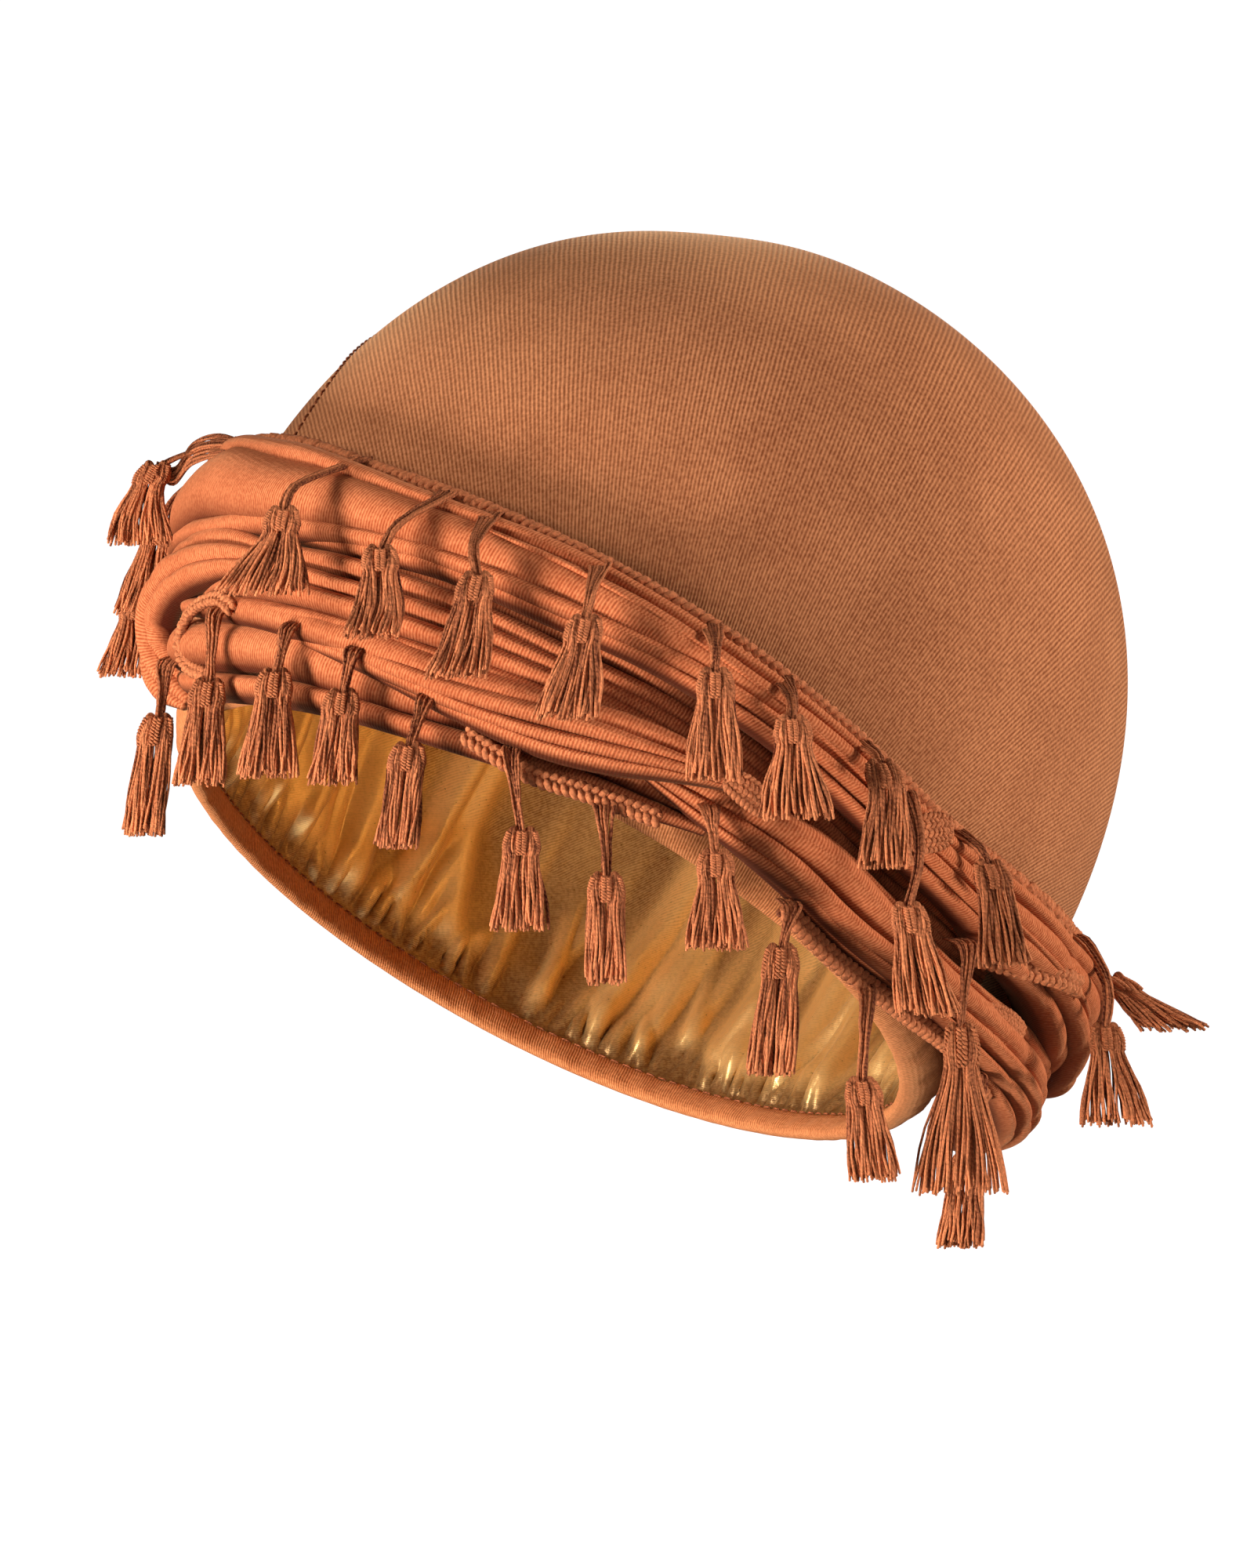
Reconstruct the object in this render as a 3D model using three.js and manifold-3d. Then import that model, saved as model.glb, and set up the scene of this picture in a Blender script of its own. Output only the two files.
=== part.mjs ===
// A ready-tied turban cap: a stretch-knit dome with a satin lining and a bound hem, a loosely
// twisted scarf sewn along its front, and tassels hanging from the scarf's braided edges.
// Millimetres and degrees. The cap is shaped upright, with its front towards -Y and the origin
// at the middle of its mouth, then held tipped over. The tassels hang plumb, along -Z.
import * as THREE from "three";
import { mergeVertices } from "three/addons/utils/BufferGeometryUtils.js";
import Module from "manifold-3d";

const wasm = await Module();
wasm.setup();

// How the cap is held: tipped towards +X, and leaned back so that its mouth shows.
const HELD = { tipDeg: 28, backDeg: 16.5 };

// The dome: widest above its mouth, drawn in below by the hem.
const DOME = {
  halfWidth: 86,
  halfLength: 105,
  height: 129,
  widestAt: 38,
  mouthHalfWidth: 76,
  mouthHalfLength: 92.5,
  squareness: 2.2,
  skirtShare: 0.3,
};
const HEM = { tall: 7, halfThick: 2.2, frontDip: 5, gap: 0.4 };
const CLOTH = { crownThick: 1.2, liningThick: 1.0, liningInset: 3.0 };
const GATHER = { folds: 16, depth: 2.2, reach: 0.55 };
const BRAID = { halfWide: 2.1, halfThick: 1.1, stitch: 6.5, swell: 0.3 };
const CLEARANCE = 0.4;

// Facets: points round a ring and rows up the dome, and points round a strand.
const FACETS = { crownRound: 36, crownRows: 9, liningRound: 48, liningRows: 7, hemRound: 40, strand: 12, braid: 5 };

// The scarf's strands. Each row is a section: where it lies round the cap from the front,
// its height over the mouth, how far its middle stands off the wall, and its half sizes
// across the wall and out from it.
const STRAND_COLUMNS = ["around", "height", "standOff", "halfWidth", "halfDepth"];
const STRANDS = {
  front_sash: {
    ribs: 2,
    ribDepth: 0.1,
    rows: [
      [-67, 7.0, 9.0, 1.4, 1.8],
      [-54, 4.4, 10.0, 2.4, 3.2],
      [-42, 2.2, 10.4, 3.1, 3.8],
      [-31, 0.4, 10.6, 3.7, 4.0],
      [-21, -0.6, 10.6, 4.5, 4.2],
      [-11, -0.4, 10.6, 5.3, 4.4],
      [-3, 1.2, 10.6, 5.2, 4.2],
      [4, 3.2, 10.2, 3.8, 3.6],
      [10, 4.8, 9.2, 2.0, 2.4],
      [13, 5.4, 8.2, 0.8, 1.2],
    ],
  },
  right_sash: {
    ribs: 3,
    ribDepth: 0.1,
    rows: [
      [2, 2.0, 5.0, 1.8, 1.4],
      [10, 1.6, 7.0, 3.6, 3.4],
      [17, 1.6, 8.2, 4.8, 4.8],
      [24, 1.6, 8.6, 5.6, 5.4],
      [34, 0.8, 8.6, 5.4, 5.4],
      [46, 1.4, 8.6, 4.7, 5.2],
      [56, 3.0, 9.0, 5.0, 5.8],
      [66, 4.4, 9.8, 6.3, 6.8],
      [78, 5.2, 10.6, 7.4, 7.8],
      [89, 5.4, 9.8, 7.6, 7.0],
      [97, 5.6, 7.4, 5.4, 4.4],
      [101, 5.8, 5.4, 2.2, 1.8],
    ],
  },
  upper_roll: {
    ribs: 3,
    ribDepth: 0.1,
    rows: [
      [-92, 33.0, 2.6, 3.2, 1.4],
      [-82, 32.0, 5.6, 9.0, 4.6],
      [-68, 29.5, 7.2, 9.8, 6.2],
      [-56, 26.5, 7.4, 8.8, 6.4],
      [-43, 23.6, 7.2, 7.2, 6.2],
      [-28, 21.8, 6.8, 6.3, 5.8],
      [-12, 20.3, 6.6, 5.8, 5.6],
      [4, 19.0, 6.4, 5.4, 5.4],
      [20, 17.0, 6.2, 5.0, 5.2],
      [34, 15.4, 6.4, 5.2, 5.4],
      [46, 16.4, 7.0, 6.0, 6.0],
      [60, 19.0, 8.2, 6.8, 7.0],
      [75, 20.6, 9.2, 7.8, 8.0],
      [87, 20.6, 8.6, 7.6, 7.2],
      [95, 20.4, 6.4, 5.6, 4.8],
      [99, 20.2, 4.2, 2.4, 2.0],
    ],
  },
  side_loop: {
    ribs: 2,
    ribDepth: 0.12,
    rows: [
      [-49, 12.6, 9.0, 1.6, 1.6],
      [-58, 13.4, 9.8, 3.6, 3.4],
      [-67, 12.4, 10.2, 4.6, 4.0],
      [-73, 8.6, 9.8, 4.8, 4.2],
      [-74.5, 3.2, 9.0, 4.6, 4.0],
      [-73.5, -1.4, 7.4, 4.0, 3.2],
      [-71, -4.6, 4.6, 2.0, 1.4],
    ],
  },
  lower_roll: {
    ribs: 2,
    ribDepth: 0.08,
    rows: [
      [-69, 0.6, 5.0, 2.2, 2.2],
      [-64, 0.2, 7.4, 4.6, 4.8],
      [-52, -0.6, 7.6, 5.0, 5.2],
      [-40, -1.8, 7.2, 4.8, 4.8],
      [-28, -2.4, 6.0, 4.4, 3.6],
      [-14, -2.2, 5.0, 4.2, 2.6],
      [0, -1.0, 4.4, 3.8, 2.0],
      [12, 0.0, 3.8, 2.0, 1.2],
    ],
  },
  middle_pleats: {
    ribs: 3,
    ribDepth: 0.14,
    rows: [
      [-67, 11.0, 4.6, 2.6, 2.4],
      [-54, 11.4, 6.8, 5.4, 5.2],
      [-42, 10.4, 7.0, 5.8, 5.4],
      [-28, 9.4, 6.4, 5.6, 4.8],
      [-14, 9.4, 5.4, 5.2, 3.8],
      [0, 10.0, 4.6, 4.6, 3.0],
      [16, 9.4, 4.0, 4.0, 2.4],
      [32, 7.8, 3.8, 3.6, 2.2],
      [46, 9.0, 3.8, 3.2, 2.2],
      [58, 11.6, 3.2, 1.4, 1.0],
    ],
  },
};
const STATIONS_PER_ROW = 2;

// The braided edges of the scarf, each a short run of points round the cap.
const BRAID_COLUMNS = ["around", "height", "standOff"];
const BRAIDS = {
  upper_braid: [
    [-97, 36.0, 3.4],
    [-84, 42.6, 4.8],
    [-70, 40.0, 4.2],
    [-56, 36.0, 4.0],
    [-43, 31.4, 4.0],
    [-28, 28.4, 4.0],
    [-12, 26.2, 4.0],
    [4, 24.4, 4.0],
    [20, 22.2, 4.0],
    [34, 20.8, 4.0],
    [46, 22.8, 4.4],
    [60, 26.6, 5.0],
    [72, 29.2, 6.4],
    [84, 29.4, 8.0],
  ],
  lower_braid_left: [
    [-70, -2.6, 14.6],
    [-66, 2.4, 15.4],
    [-60, 4.4, 14.4],
    [-56, 1.8, 14.6],
  ],
  lower_braid_middle: [
    [-18, -7.2, 13.2],
    [-10, -8.6, 12.6],
    [-2, -7.0, 11.2],
    [6, -5.6, 11.6],
  ],
  lower_braid_right: [
    [24, -6.4, 12.0],
    [34, -7.2, 11.4],
    [46, -5.8, 12.2],
    [58, -3.2, 13.4],
    [68, -2.4, 15.4],
  ],
};

// The tassels: where each leaves its braid, the length of its neck and of its skirt, how far
// each of those leans towards +X from plumb, and the width that its skirt opens to.
const TASSEL_COLUMNS = ["around", "height", "standOff", "neck", "skirt", "neckLean", "skirtLean", "width"];
const TASSELS = [
  [-66, -4, 13.5, 9.5, 20.5, -1, -6, 6.2],
  [-54, 1.2, 16, 12, 17.5, 1, -4, 8],
  [-42, -0.3, 16, 7.5, 17.5, -9, -3, 9],
  [-33, -1.8, 16, 7, 15, -6, -6, 7.5],
  [-23, -5, 15.6, 8, 16.5, -16, -7, 6],
  [-12, -7.6, 15, 13, 16, 9, -2, 8.5],
  [0, -8.8, 14, 11, 17.5, 1, -1, 5.6],
  [10, -1.7, 14, 7, 15.5, 4, 0, 9],
  [24, -6.4, 14.6, 6.5, 21, -22, -6, 7.2],
  [39, -8.5, 14.4, 15, 16.5, -8, 6, 7.6],
  [44, 6.4, 15.2, 13, 28.5, -11, -1, 15],
  [62, -4, 16.4, 14, 15, -16, -5, 7.7],
  [-92, 34, 8, 13.5, 13.5, -25, -5, 10.5],
  [-84, 39, 8, 8, 16, -25, -11, 10],
  [-76, 42.4, 7.4, 4, 14, -12, -2, 11],
  [-44, 31.6, 7, 9, 14, 15, -8, 14],
  [-31, 28.4, 7, 9.5, 14.5, -25, 1, 8.6],
  [-25, 27, 7, 10.5, 16.5, 20, -9, 9.2],
  [-12, 25.2, 7, 9, 16, -6, -11, 10],
  [1, 24.2, 7, 7.5, 17.5, -10, 0, 8.6],
  [10, 22.4, 7, 6.5, 16, -21, 2, 11],
  [21, 21.2, 7, 3, 17, -25, -2, 8],
  [28, 18.4, 8, 18, 18, -20, 11, 9.3],
  [37, 20.8, 7, 5, 17, 10, 8, 7.7],
  [64, 27.2, 9.2, 15, 17, -9, 7, 12],
  [71, 28.8, 9.6, 2.5, 9, -25, 53, 11],
];
// A tassel's sections: how far along its neck or skirt, its width and depth, and how much of
// the skirt's opening it has.
const TASSEL_SECTIONS = [
  { on: "neck", share: 0.0, width: 2.6, depth: 1.2, opening: 0 },
  { on: "neck", share: 0.5, width: 2.0, depth: 1.2, opening: 0 },
  { on: "skirt", share: 0.04, width: 4.8, depth: 2.2, opening: 0 },
  { on: "skirt", share: 0.16, width: 6.0, depth: 2.8, opening: 0 },
  { on: "skirt", share: 0.3, width: 5.6, depth: 2.6, opening: 0 },
  { on: "skirt", share: 0.65, width: 5.8, depth: 3.0, opening: 0.6 },
  { on: "skirt", share: 1.0, width: 5.8, depth: 3.2, opening: 1 },
];
const LOCKS = { count: 5, groove: 0.26, stagger: 0.06 };
const HANG = { step: 0.4, tries: 60, window: 3.2, startShare: 0.3 };

const COLOURS = {
  crown: { color: 0xb4713f, roughness: 0.75 },
  scarf: { color: 0xc4733f, roughness: 0.8 },
  lining: { color: 0xb07f35, roughness: 0.35 },
  thread: { color: 0xa2583a, roughness: 0.7 },
};

const radians = THREE.MathUtils.degToRad;

// Rows of numbers as a smooth function of the row's place, giving named columns.
function table(columns, rows) {
  const places = rows.map((_, i) => i);
  const curve = new THREE.CubicInterpolant(places, rows.flat(), columns.length);
  return (place) => {
    const values = curve.evaluate(place);
    return Object.fromEntries(columns.map((name, i) => [name, values[i]]));
  };
}

// The dome's half sizes at a height, with the wall moved in by an inset.
function halfSizes(height, inset = 0) {
  const above = THREE.MathUtils.clamp((height - DOME.widestAt) / (DOME.height - DOME.widestAt), 0, 1);
  const closing = Math.pow(1 - Math.pow(above, DOME.squareness), 1 / DOME.squareness);
  const below = Math.max(0, (DOME.widestAt - height) / DOME.widestAt) ** 2;
  const across = DOME.halfWidth - (DOME.halfWidth - DOME.mouthHalfWidth) * below;
  const along = DOME.halfLength - (DOME.halfLength - DOME.mouthHalfLength) * below;
  return { x: across * closing - inset, y: along * closing - inset };
}

// The point standing off the dome's wall at an angle from the front and a height.
function wallPoint(around, height, standOff = 0) {
  const half = halfSizes(height, -standOff);
  const angle = radians(around);
  return new THREE.Vector3(half.x * Math.sin(angle), -half.y * Math.cos(angle), height);
}

// The level direction that points out of the wall.
function outward(around) {
  const angle = radians(around);
  return new THREE.Vector3(
    DOME.halfLength * Math.sin(angle),
    -DOME.halfWidth * Math.cos(angle),
    0,
  ).normalize();
}

// The height of the hem's lower edge, which dips towards the front.
function hemEdge(around) {
  return (-HEM.frontDip * (1 + Math.cos(radians(around)))) / 2;
}

// A point of the dome: share 0 is the cloth's lower edge and share 1 the top.
function domePoint(around, share, inset) {
  const edge = hemEdge(around) + HEM.tall + HEM.gap;
  if (share <= DOME.skirtShare) {
    const height = THREE.MathUtils.lerp(edge, DOME.widestAt, share / DOME.skirtShare);
    return wallPoint(around, height, -inset);
  }
  const climb = ((share - DOME.skirtShare) / (1 - DOME.skirtShare)) * (Math.PI / 2);
  const power = 2 / DOME.squareness;
  const closing = Math.pow(Math.max(0, Math.cos(climb)), power);
  const rise = Math.pow(Math.sin(climb), power);
  const angle = radians(around);
  return new THREE.Vector3(
    (DOME.halfWidth - inset) * closing * Math.sin(angle),
    -(DOME.halfLength - inset) * closing * Math.cos(angle),
    DOME.widestAt + (DOME.height - inset - DOME.widestAt) * rise,
  );
}

// A closed surface through rings of points. A ring of one point closes an end; with no such
// ends the last ring joins the first.
function skin(rings) {
  const points = [];
  const starts = rings.map((ring) => points.push(...ring) - ring.length);
  const faces = [];
  const joins = rings[0].length > 1 ? rings.length : rings.length - 1;
  for (let i = 0; i < joins; i++) {
    const j = (i + 1) % rings.length;
    const count = Math.max(rings[i].length, rings[j].length);
    for (let k = 0; k < count; k++) {
      const next = (k + 1) % count;
      const [a, b] = [starts[i] + k, starts[i] + next];
      const [c, d] = [starts[j] + k, starts[j] + next];
      if (rings[i].length === 1) faces.push(starts[i], d, c);
      else if (rings[j].length === 1) faces.push(a, b, starts[j]);
      else faces.push(a, b, d, a, d, c);
    }
  }
  const geometry = new THREE.BufferGeometry().setFromPoints(points);
  geometry.setIndex(faces);
  return geometry;
}

// A closed geometry as a solid, and back.
function solidOf(geometry) {
  const merged = mergeVertices(geometry, 1e-4);
  const solid = new wasm.Manifold(
    new wasm.Mesh({
      numProp: 3,
      vertProperties: new Float32Array(merged.attributes.position.array),
      triVerts: new Uint32Array(merged.index.array),
    }),
  );
  if (solid.volume() > 0) return solid;
  merged.index.array.reverse();
  return solidOf(merged);
}

function geometryOf(solid) {
  const mesh = solid.getMesh();
  const geometry = new THREE.BufferGeometry();
  geometry.setAttribute("position", new THREE.BufferAttribute(mesh.vertProperties, 3));
  geometry.setIndex(new THREE.BufferAttribute(mesh.triVerts, 1));
  geometry.computeVertexNormals();
  return geometry;
}

// The largest body left when solids are cut away.
function cutBy(solid, cutters) {
  const left = cutters.reduce((rest, cutter) => rest.subtract(cutter), solid);
  return left.decompose().sort((a, b) => b.volume() - a.volume())[0];
}

function ringAngles(count) {
  return Array.from({ length: count }, (_, i) => (360 * i) / count);
}

// A dome of cloth: down its outer face, round its edge and up its inner face.
function domeShell({ round, rows, inset, thick, gather = () => 0 }) {
  const ring = (share, depth) =>
    ringAngles(round).map((around) => domePoint(around, share, depth + gather(around, share)));
  const shares = Array.from({ length: rows }, (_, i) => i / rows);
  return skin([
    [domePoint(0, 1, inset)],
    ...shares.toReversed().map((share) => ring(share, inset)),
    ...shares.map((share) => ring(share, inset + thick)),
    [domePoint(0, 1, inset + thick)],
  ]);
}

// The satin is drawn up by the hem, so its folds deepen towards the edge.
function gatherDepth(around, share) {
  const near = Math.max(0, 1 - share / GATHER.reach) ** 2;
  return GATHER.depth * near * (0.5 + 0.5 * Math.cos(radians(around) * GATHER.folds));
}

// The bound hem: a flattened roll all round the mouth.
function hemRing() {
  const section = [0, 60, 120, 180, 240, 300].map((angle) => radians(angle));
  return skin(
    ringAngles(FACETS.hemRound).map((around) => {
      const middle = hemEdge(around) + HEM.tall / 2;
      return section.map((angle) =>
        wallPoint(
          around,
          middle + (HEM.tall / 2) * Math.sin(angle),
          HEM.halfThick * Math.cos(angle) - CLOTH.liningInset / 2,
        ),
      );
    }),
  );
}

// Rings of a strand of rolled cloth along its table of sections, with ribs along its length.
// Grow makes it thicker all round.
function strandRings({ rows, ribs, ribDepth }, grow = 0, perRow = STATIONS_PER_ROW, sides = FACETS.strand) {
  const at = table(STRAND_COLUMNS, rows);
  const last = rows.length - 1;
  const centre = (place) => {
    const row = at(place);
    return wallPoint(row.around, row.height, row.standOff);
  };
  const rings = [];
  for (let i = 0; i <= last * perRow; i++) {
    const place = i / perRow;
    const row = at(place);
    const middle = centre(place);
    const along = centre(Math.min(last, place + 0.1)).sub(centre(Math.max(0, place - 0.1))).normalize();
    const across = new THREE.Vector3().crossVectors(along, outward(row.around)).normalize();
    const out = new THREE.Vector3().crossVectors(across, along);
    rings.push(
      ringAngles(sides).map((angle) => {
        const turn = radians(angle);
        const rib = 1 - ribDepth * (0.5 - 0.5 * Math.cos(2 * ribs * turn));
        return middle
          .clone()
          .addScaledVector(out, (row.halfDepth * rib + grow) * Math.cos(turn))
          .addScaledVector(across, (row.halfWidth * rib + grow) * Math.sin(turn));
      }),
    );
  }
  return { rings, first: centre(0), end: centre(last) };
}

function strandSkin(strand, grow = 0) {
  const { rings, first, end } = strandRings(strand, grow);
  return skin([[first], ...rings, [end]]);
}

// A flat braid through its points, swelling at each stitch. Grow makes it thicker all round.
function braidSkin(rows, grow = 0) {
  const at = table(BRAID_COLUMNS, rows);
  const last = rows.length - 1;
  const point = (place) => {
    const row = at(place);
    return wallPoint(row.around, row.height, row.standOff);
  };
  let length = 0;
  for (let i = 0; i < last; i++) length += point(i).distanceTo(point(i + 1));
  const stations = Math.max(3, Math.round(length / BRAID.stitch));
  const rings = [];
  for (let i = 0; i <= stations; i++) {
    const place = (last * i) / stations;
    const { around } = at(place);
    const along = point(Math.min(last, place + 0.05)).sub(point(Math.max(0, place - 0.05))).normalize();
    const across = new THREE.Vector3().crossVectors(along, outward(around)).normalize();
    const out = new THREE.Vector3().crossVectors(across, along);
    const swell = 1 + (i % 2 ? BRAID.swell : 0);
    rings.push(
      ringAngles(FACETS.braid).map((angle) =>
        point(place)
          .addScaledVector(out, (BRAID.halfThick * swell + grow) * Math.cos(radians(angle)))
          .addScaledVector(across, (BRAID.halfWide * swell + grow) * Math.sin(radians(angle))),
      ),
    );
  }
  return skin([[point(0)], ...rings, [point(last)]]);
}

// A tassel: a thread neck, a bound head and a skirt of locks, falling from its braid and
// pushed out just far enough to lie clear of what is behind it.
function tasselSkin(row, toPlumb, obstacles, push) {
  const anchor = wallPoint(row.around, row.height, row.standOff).applyMatrix4(toPlumb);
  const out = outward(row.around).transformDirection(toPlumb).setZ(0).normalize();
  const beside = new THREE.Vector3(-out.y, out.x, 0);
  const neckSlope = Math.tan(radians(row.neckLean));
  const skirtSlope = Math.tan(radians(row.skirtLean));
  let farthest = 0;
  const rings = [];
  const middles = [];
  for (const section of TASSEL_SECTIONS) {
    const neck = row.neck * (section.on === "neck" ? section.share : 1);
    const skirt = row.skirt * (section.on === "neck" ? 0 : section.share);
    const drop = neck + skirt;
    const halfWidth = THREE.MathUtils.lerp(section.width, row.width, section.opening) / 2;
    const halfDepth = section.depth / 2;
    const sway = neck * neckSlope + skirt * skirtSlope;
    const middle = new THREE.Vector3(anchor.x + sway, anchor.y, anchor.z - drop);
    const behind = obstacles
      .filter((p) => Math.abs(p.z - middle.z) < HANG.window)
      .filter((p) => Math.abs(p.clone().sub(middle).dot(beside)) < halfWidth + 1)
      .map((p) => p.clone().sub(middle).dot(out));
    const eased = push * Math.min(1, HANG.startShare + (2 * drop) / (row.neck + row.skirt));
    farthest = Math.max(farthest, drop === 0 ? 0 : Math.max(0, ...behind) + halfDepth);
    middle.addScaledVector(out, farthest + eased);
    middles.push(middle);
    rings.push(
      ringAngles(2 * LOCKS.count).map((angle, i) => {
        const groove = section.on === "skirt" && i % 2 ? 1 - LOCKS.groove : 1;
        const tip = section.share === 1 && i % 2 ? row.skirt * LOCKS.stagger : 0;
        return new THREE.Vector3(
          middle.x + halfWidth * groove * Math.cos(radians(angle)),
          middle.y + halfDepth * groove * Math.sin(radians(angle)),
          middle.z + tip,
        );
      }),
    );
  }
  return skin([[middles[0]], ...rings, [middles.at(-1)]]);
}

// Solids of the cap, in its upright frame. A strand gives way to the braids and to the strands
// listed before it.
const solids = {};
solids.crown = solidOf(
  domeShell({ round: FACETS.crownRound, rows: FACETS.crownRows, inset: 0, thick: CLOTH.crownThick }),
);
solids.lining = solidOf(
  domeShell({
    round: FACETS.liningRound,
    rows: FACETS.liningRows,
    inset: CLOTH.liningInset,
    thick: CLOTH.liningThick,
    gather: gatherDepth,
  }),
);
solids.hem_binding = solidOf(hemRing());
const cutters = [];
for (const [name, rows] of Object.entries(BRAIDS)) {
  solids[name] = solidOf(braidSkin(rows));
  cutters.push(solidOf(braidSkin(rows, CLEARANCE)));
}
for (const [name, strand] of Object.entries(STRANDS)) {
  solids[name] = cutBy(solidOf(strandSkin(strand)), cutters);
  cutters.push(solidOf(strandSkin(strand, CLEARANCE)));
}

// The cap is turned to how it is held, and the tassels hang plumb from it.
const cap = new THREE.Group();
cap.rotation.set(-radians(HELD.backDeg), radians(HELD.tipDeg), 0, "YXZ");
cap.updateMatrixWorld(true);
const toPlumb = cap.matrixWorld.clone();

const materials = Object.fromEntries(
  Object.entries(COLOURS).map(([name, look]) => [
    name,
    new THREE.MeshStandardMaterial({ ...look, metalness: 0, name }),
  ]),
);
function materialFor(name) {
  if (name === "crown" || name === "hem_binding") return materials.crown;
  if (name === "lining") return materials.lining;
  return name in STRANDS ? materials.scarf : materials.thread;
}
function addMesh(group, name, geometry) {
  const mesh = new THREE.Mesh(geometry, materialFor(name));
  mesh.name = name;
  group.add(mesh);
}

for (const [name, solid] of Object.entries(solids)) addMesh(cap, name, geometryOf(solid));

const turban = new THREE.Group();
turban.add(cap);

const obstacles = Object.values(STRANDS)
  .flatMap((strand) => strandRings(strand, CLEARANCE, 5, 24).rings.flat())
  .map((point) => point.applyMatrix4(toPlumb));
const flatMatrix = toPlumb.toArray();
let settled = wasm.Manifold.union(Object.values(solids)).transform(flatMatrix);
TASSELS.forEach((values, i) => {
  const row = Object.fromEntries(TASSEL_COLUMNS.map((name, k) => [name, values[k]]));
  let solid = null;
  for (let tries = 0; tries < HANG.tries; tries++) {
    solid = solidOf(tasselSkin(row, toPlumb, obstacles, CLEARANCE + tries * HANG.step));
    if (settled.intersect(solid).volume() === 0) break;
  }
  settled = settled.add(solid);
  addMesh(turban, `tassel_${String(i + 1).padStart(2, "0")}`, geometryOf(solid));
});

export default turban;
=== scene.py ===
"""The looks of a ready-tied turban cap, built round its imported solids.

Lengths in the formulas are millimetres. The cap is shaped upright, with its front towards -Y and
the origin at the middle of its mouth, then turned to how it is held. Tassels hang plumb.
"""
import math

import bpy
import numpy as np
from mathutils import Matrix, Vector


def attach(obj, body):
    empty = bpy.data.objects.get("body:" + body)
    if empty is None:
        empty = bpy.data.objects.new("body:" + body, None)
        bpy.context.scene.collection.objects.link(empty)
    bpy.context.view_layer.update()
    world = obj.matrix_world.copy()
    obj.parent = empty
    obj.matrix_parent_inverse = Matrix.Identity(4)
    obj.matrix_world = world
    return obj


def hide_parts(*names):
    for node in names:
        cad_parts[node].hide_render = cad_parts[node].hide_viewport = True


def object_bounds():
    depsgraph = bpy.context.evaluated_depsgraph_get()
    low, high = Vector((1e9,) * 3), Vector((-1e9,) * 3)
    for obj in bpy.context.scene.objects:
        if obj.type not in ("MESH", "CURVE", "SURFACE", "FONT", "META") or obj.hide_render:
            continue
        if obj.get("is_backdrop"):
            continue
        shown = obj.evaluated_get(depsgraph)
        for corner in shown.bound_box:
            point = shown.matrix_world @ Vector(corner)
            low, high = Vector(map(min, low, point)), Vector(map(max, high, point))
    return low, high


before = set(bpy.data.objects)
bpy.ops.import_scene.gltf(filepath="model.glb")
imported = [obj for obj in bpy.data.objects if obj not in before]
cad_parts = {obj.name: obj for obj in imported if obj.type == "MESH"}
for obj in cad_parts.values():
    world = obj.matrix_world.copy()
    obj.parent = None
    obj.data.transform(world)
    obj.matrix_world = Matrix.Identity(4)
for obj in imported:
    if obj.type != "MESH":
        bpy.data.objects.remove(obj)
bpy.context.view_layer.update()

bl_info = {
    "name": "Tied Turban Cap",
    "version": (1, 0, 0),
    "blender": (4, 5, 0),
    "location": "View3D > Sidebar > Turban",
    "description": "Builds the cloth, braids and tassels of a ready-tied turban cap",
    "category": "Add Mesh",
}

MM = 0.001
BODY = "root"

# How the cap is held, and its dome and hem, as in the solids: angles in radians and lengths in mm. The
# skirt share is the part of the cloth's climb that lies below the widest height.
HELD_TIP = math.radians(28)
HELD_BACK = math.radians(16.5)
DOME_HALF = np.array([86.0, 105.0])
MOUTH_HALF = np.array([76.0, 92.5])
DOME_HEIGHT = 129.0
WIDEST_AT = 38.0
SQUARENESS = 2.2
SKIRT_SHARE = 0.3
HEM_TALL = 7.0
HEM_HALF_THICK = 2.2
HEM_DIP = 5.0
HEM_GAP = 0.4

# The crown, hem and lining cloths. In mm: thickness, the lining's inset and how far it is drawn back
# where it is sewn, the climb from hem to top, and the mean radius round the cap or the hem's fold. In
# degrees: the wrap of the hem's fold. As shares of the climb: how far a cloth starts below the hem, the
# lining's seam and its shade.
CROWN_THICK = 1.2
CROWN_TUCK = -0.025
CROWN_CLIMB = 160.0
HEM_CLOTH_THICK = 0.6
HEM_WRAP = (-258, 78)
HEM_RADIUS = 84.0
HEM_FOLD_RADIUS = 3.2
LINING_THICK = 1.0
LINING_INSET = 3.0
LINING_SEWN = 1.0
LINING_CLIMB = 170.0
LINING_RADIUS = 95.0
LINING_TUCK = -0.035
LINING_SEAM = 0.012
LINING_SHADE = 0.1

# The lining's wide ridges, its narrow ones and its ruffle: the range of degrees between them and of their
# half widths, how much they widen as they climb, and the range of shares of the climb where they end.
LINING_RIDGES = [
    ((6.0, 11.0), (1.5, 2.8), 0.8, (0.5, 1.3)),
    ((2.6, 5.0), (0.7, 1.2), 2.0, (0.1, 0.5)),
    ((1.6, 3.4), (0.5, 0.9), 3.0, (0.05, 0.16)),
]

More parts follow.
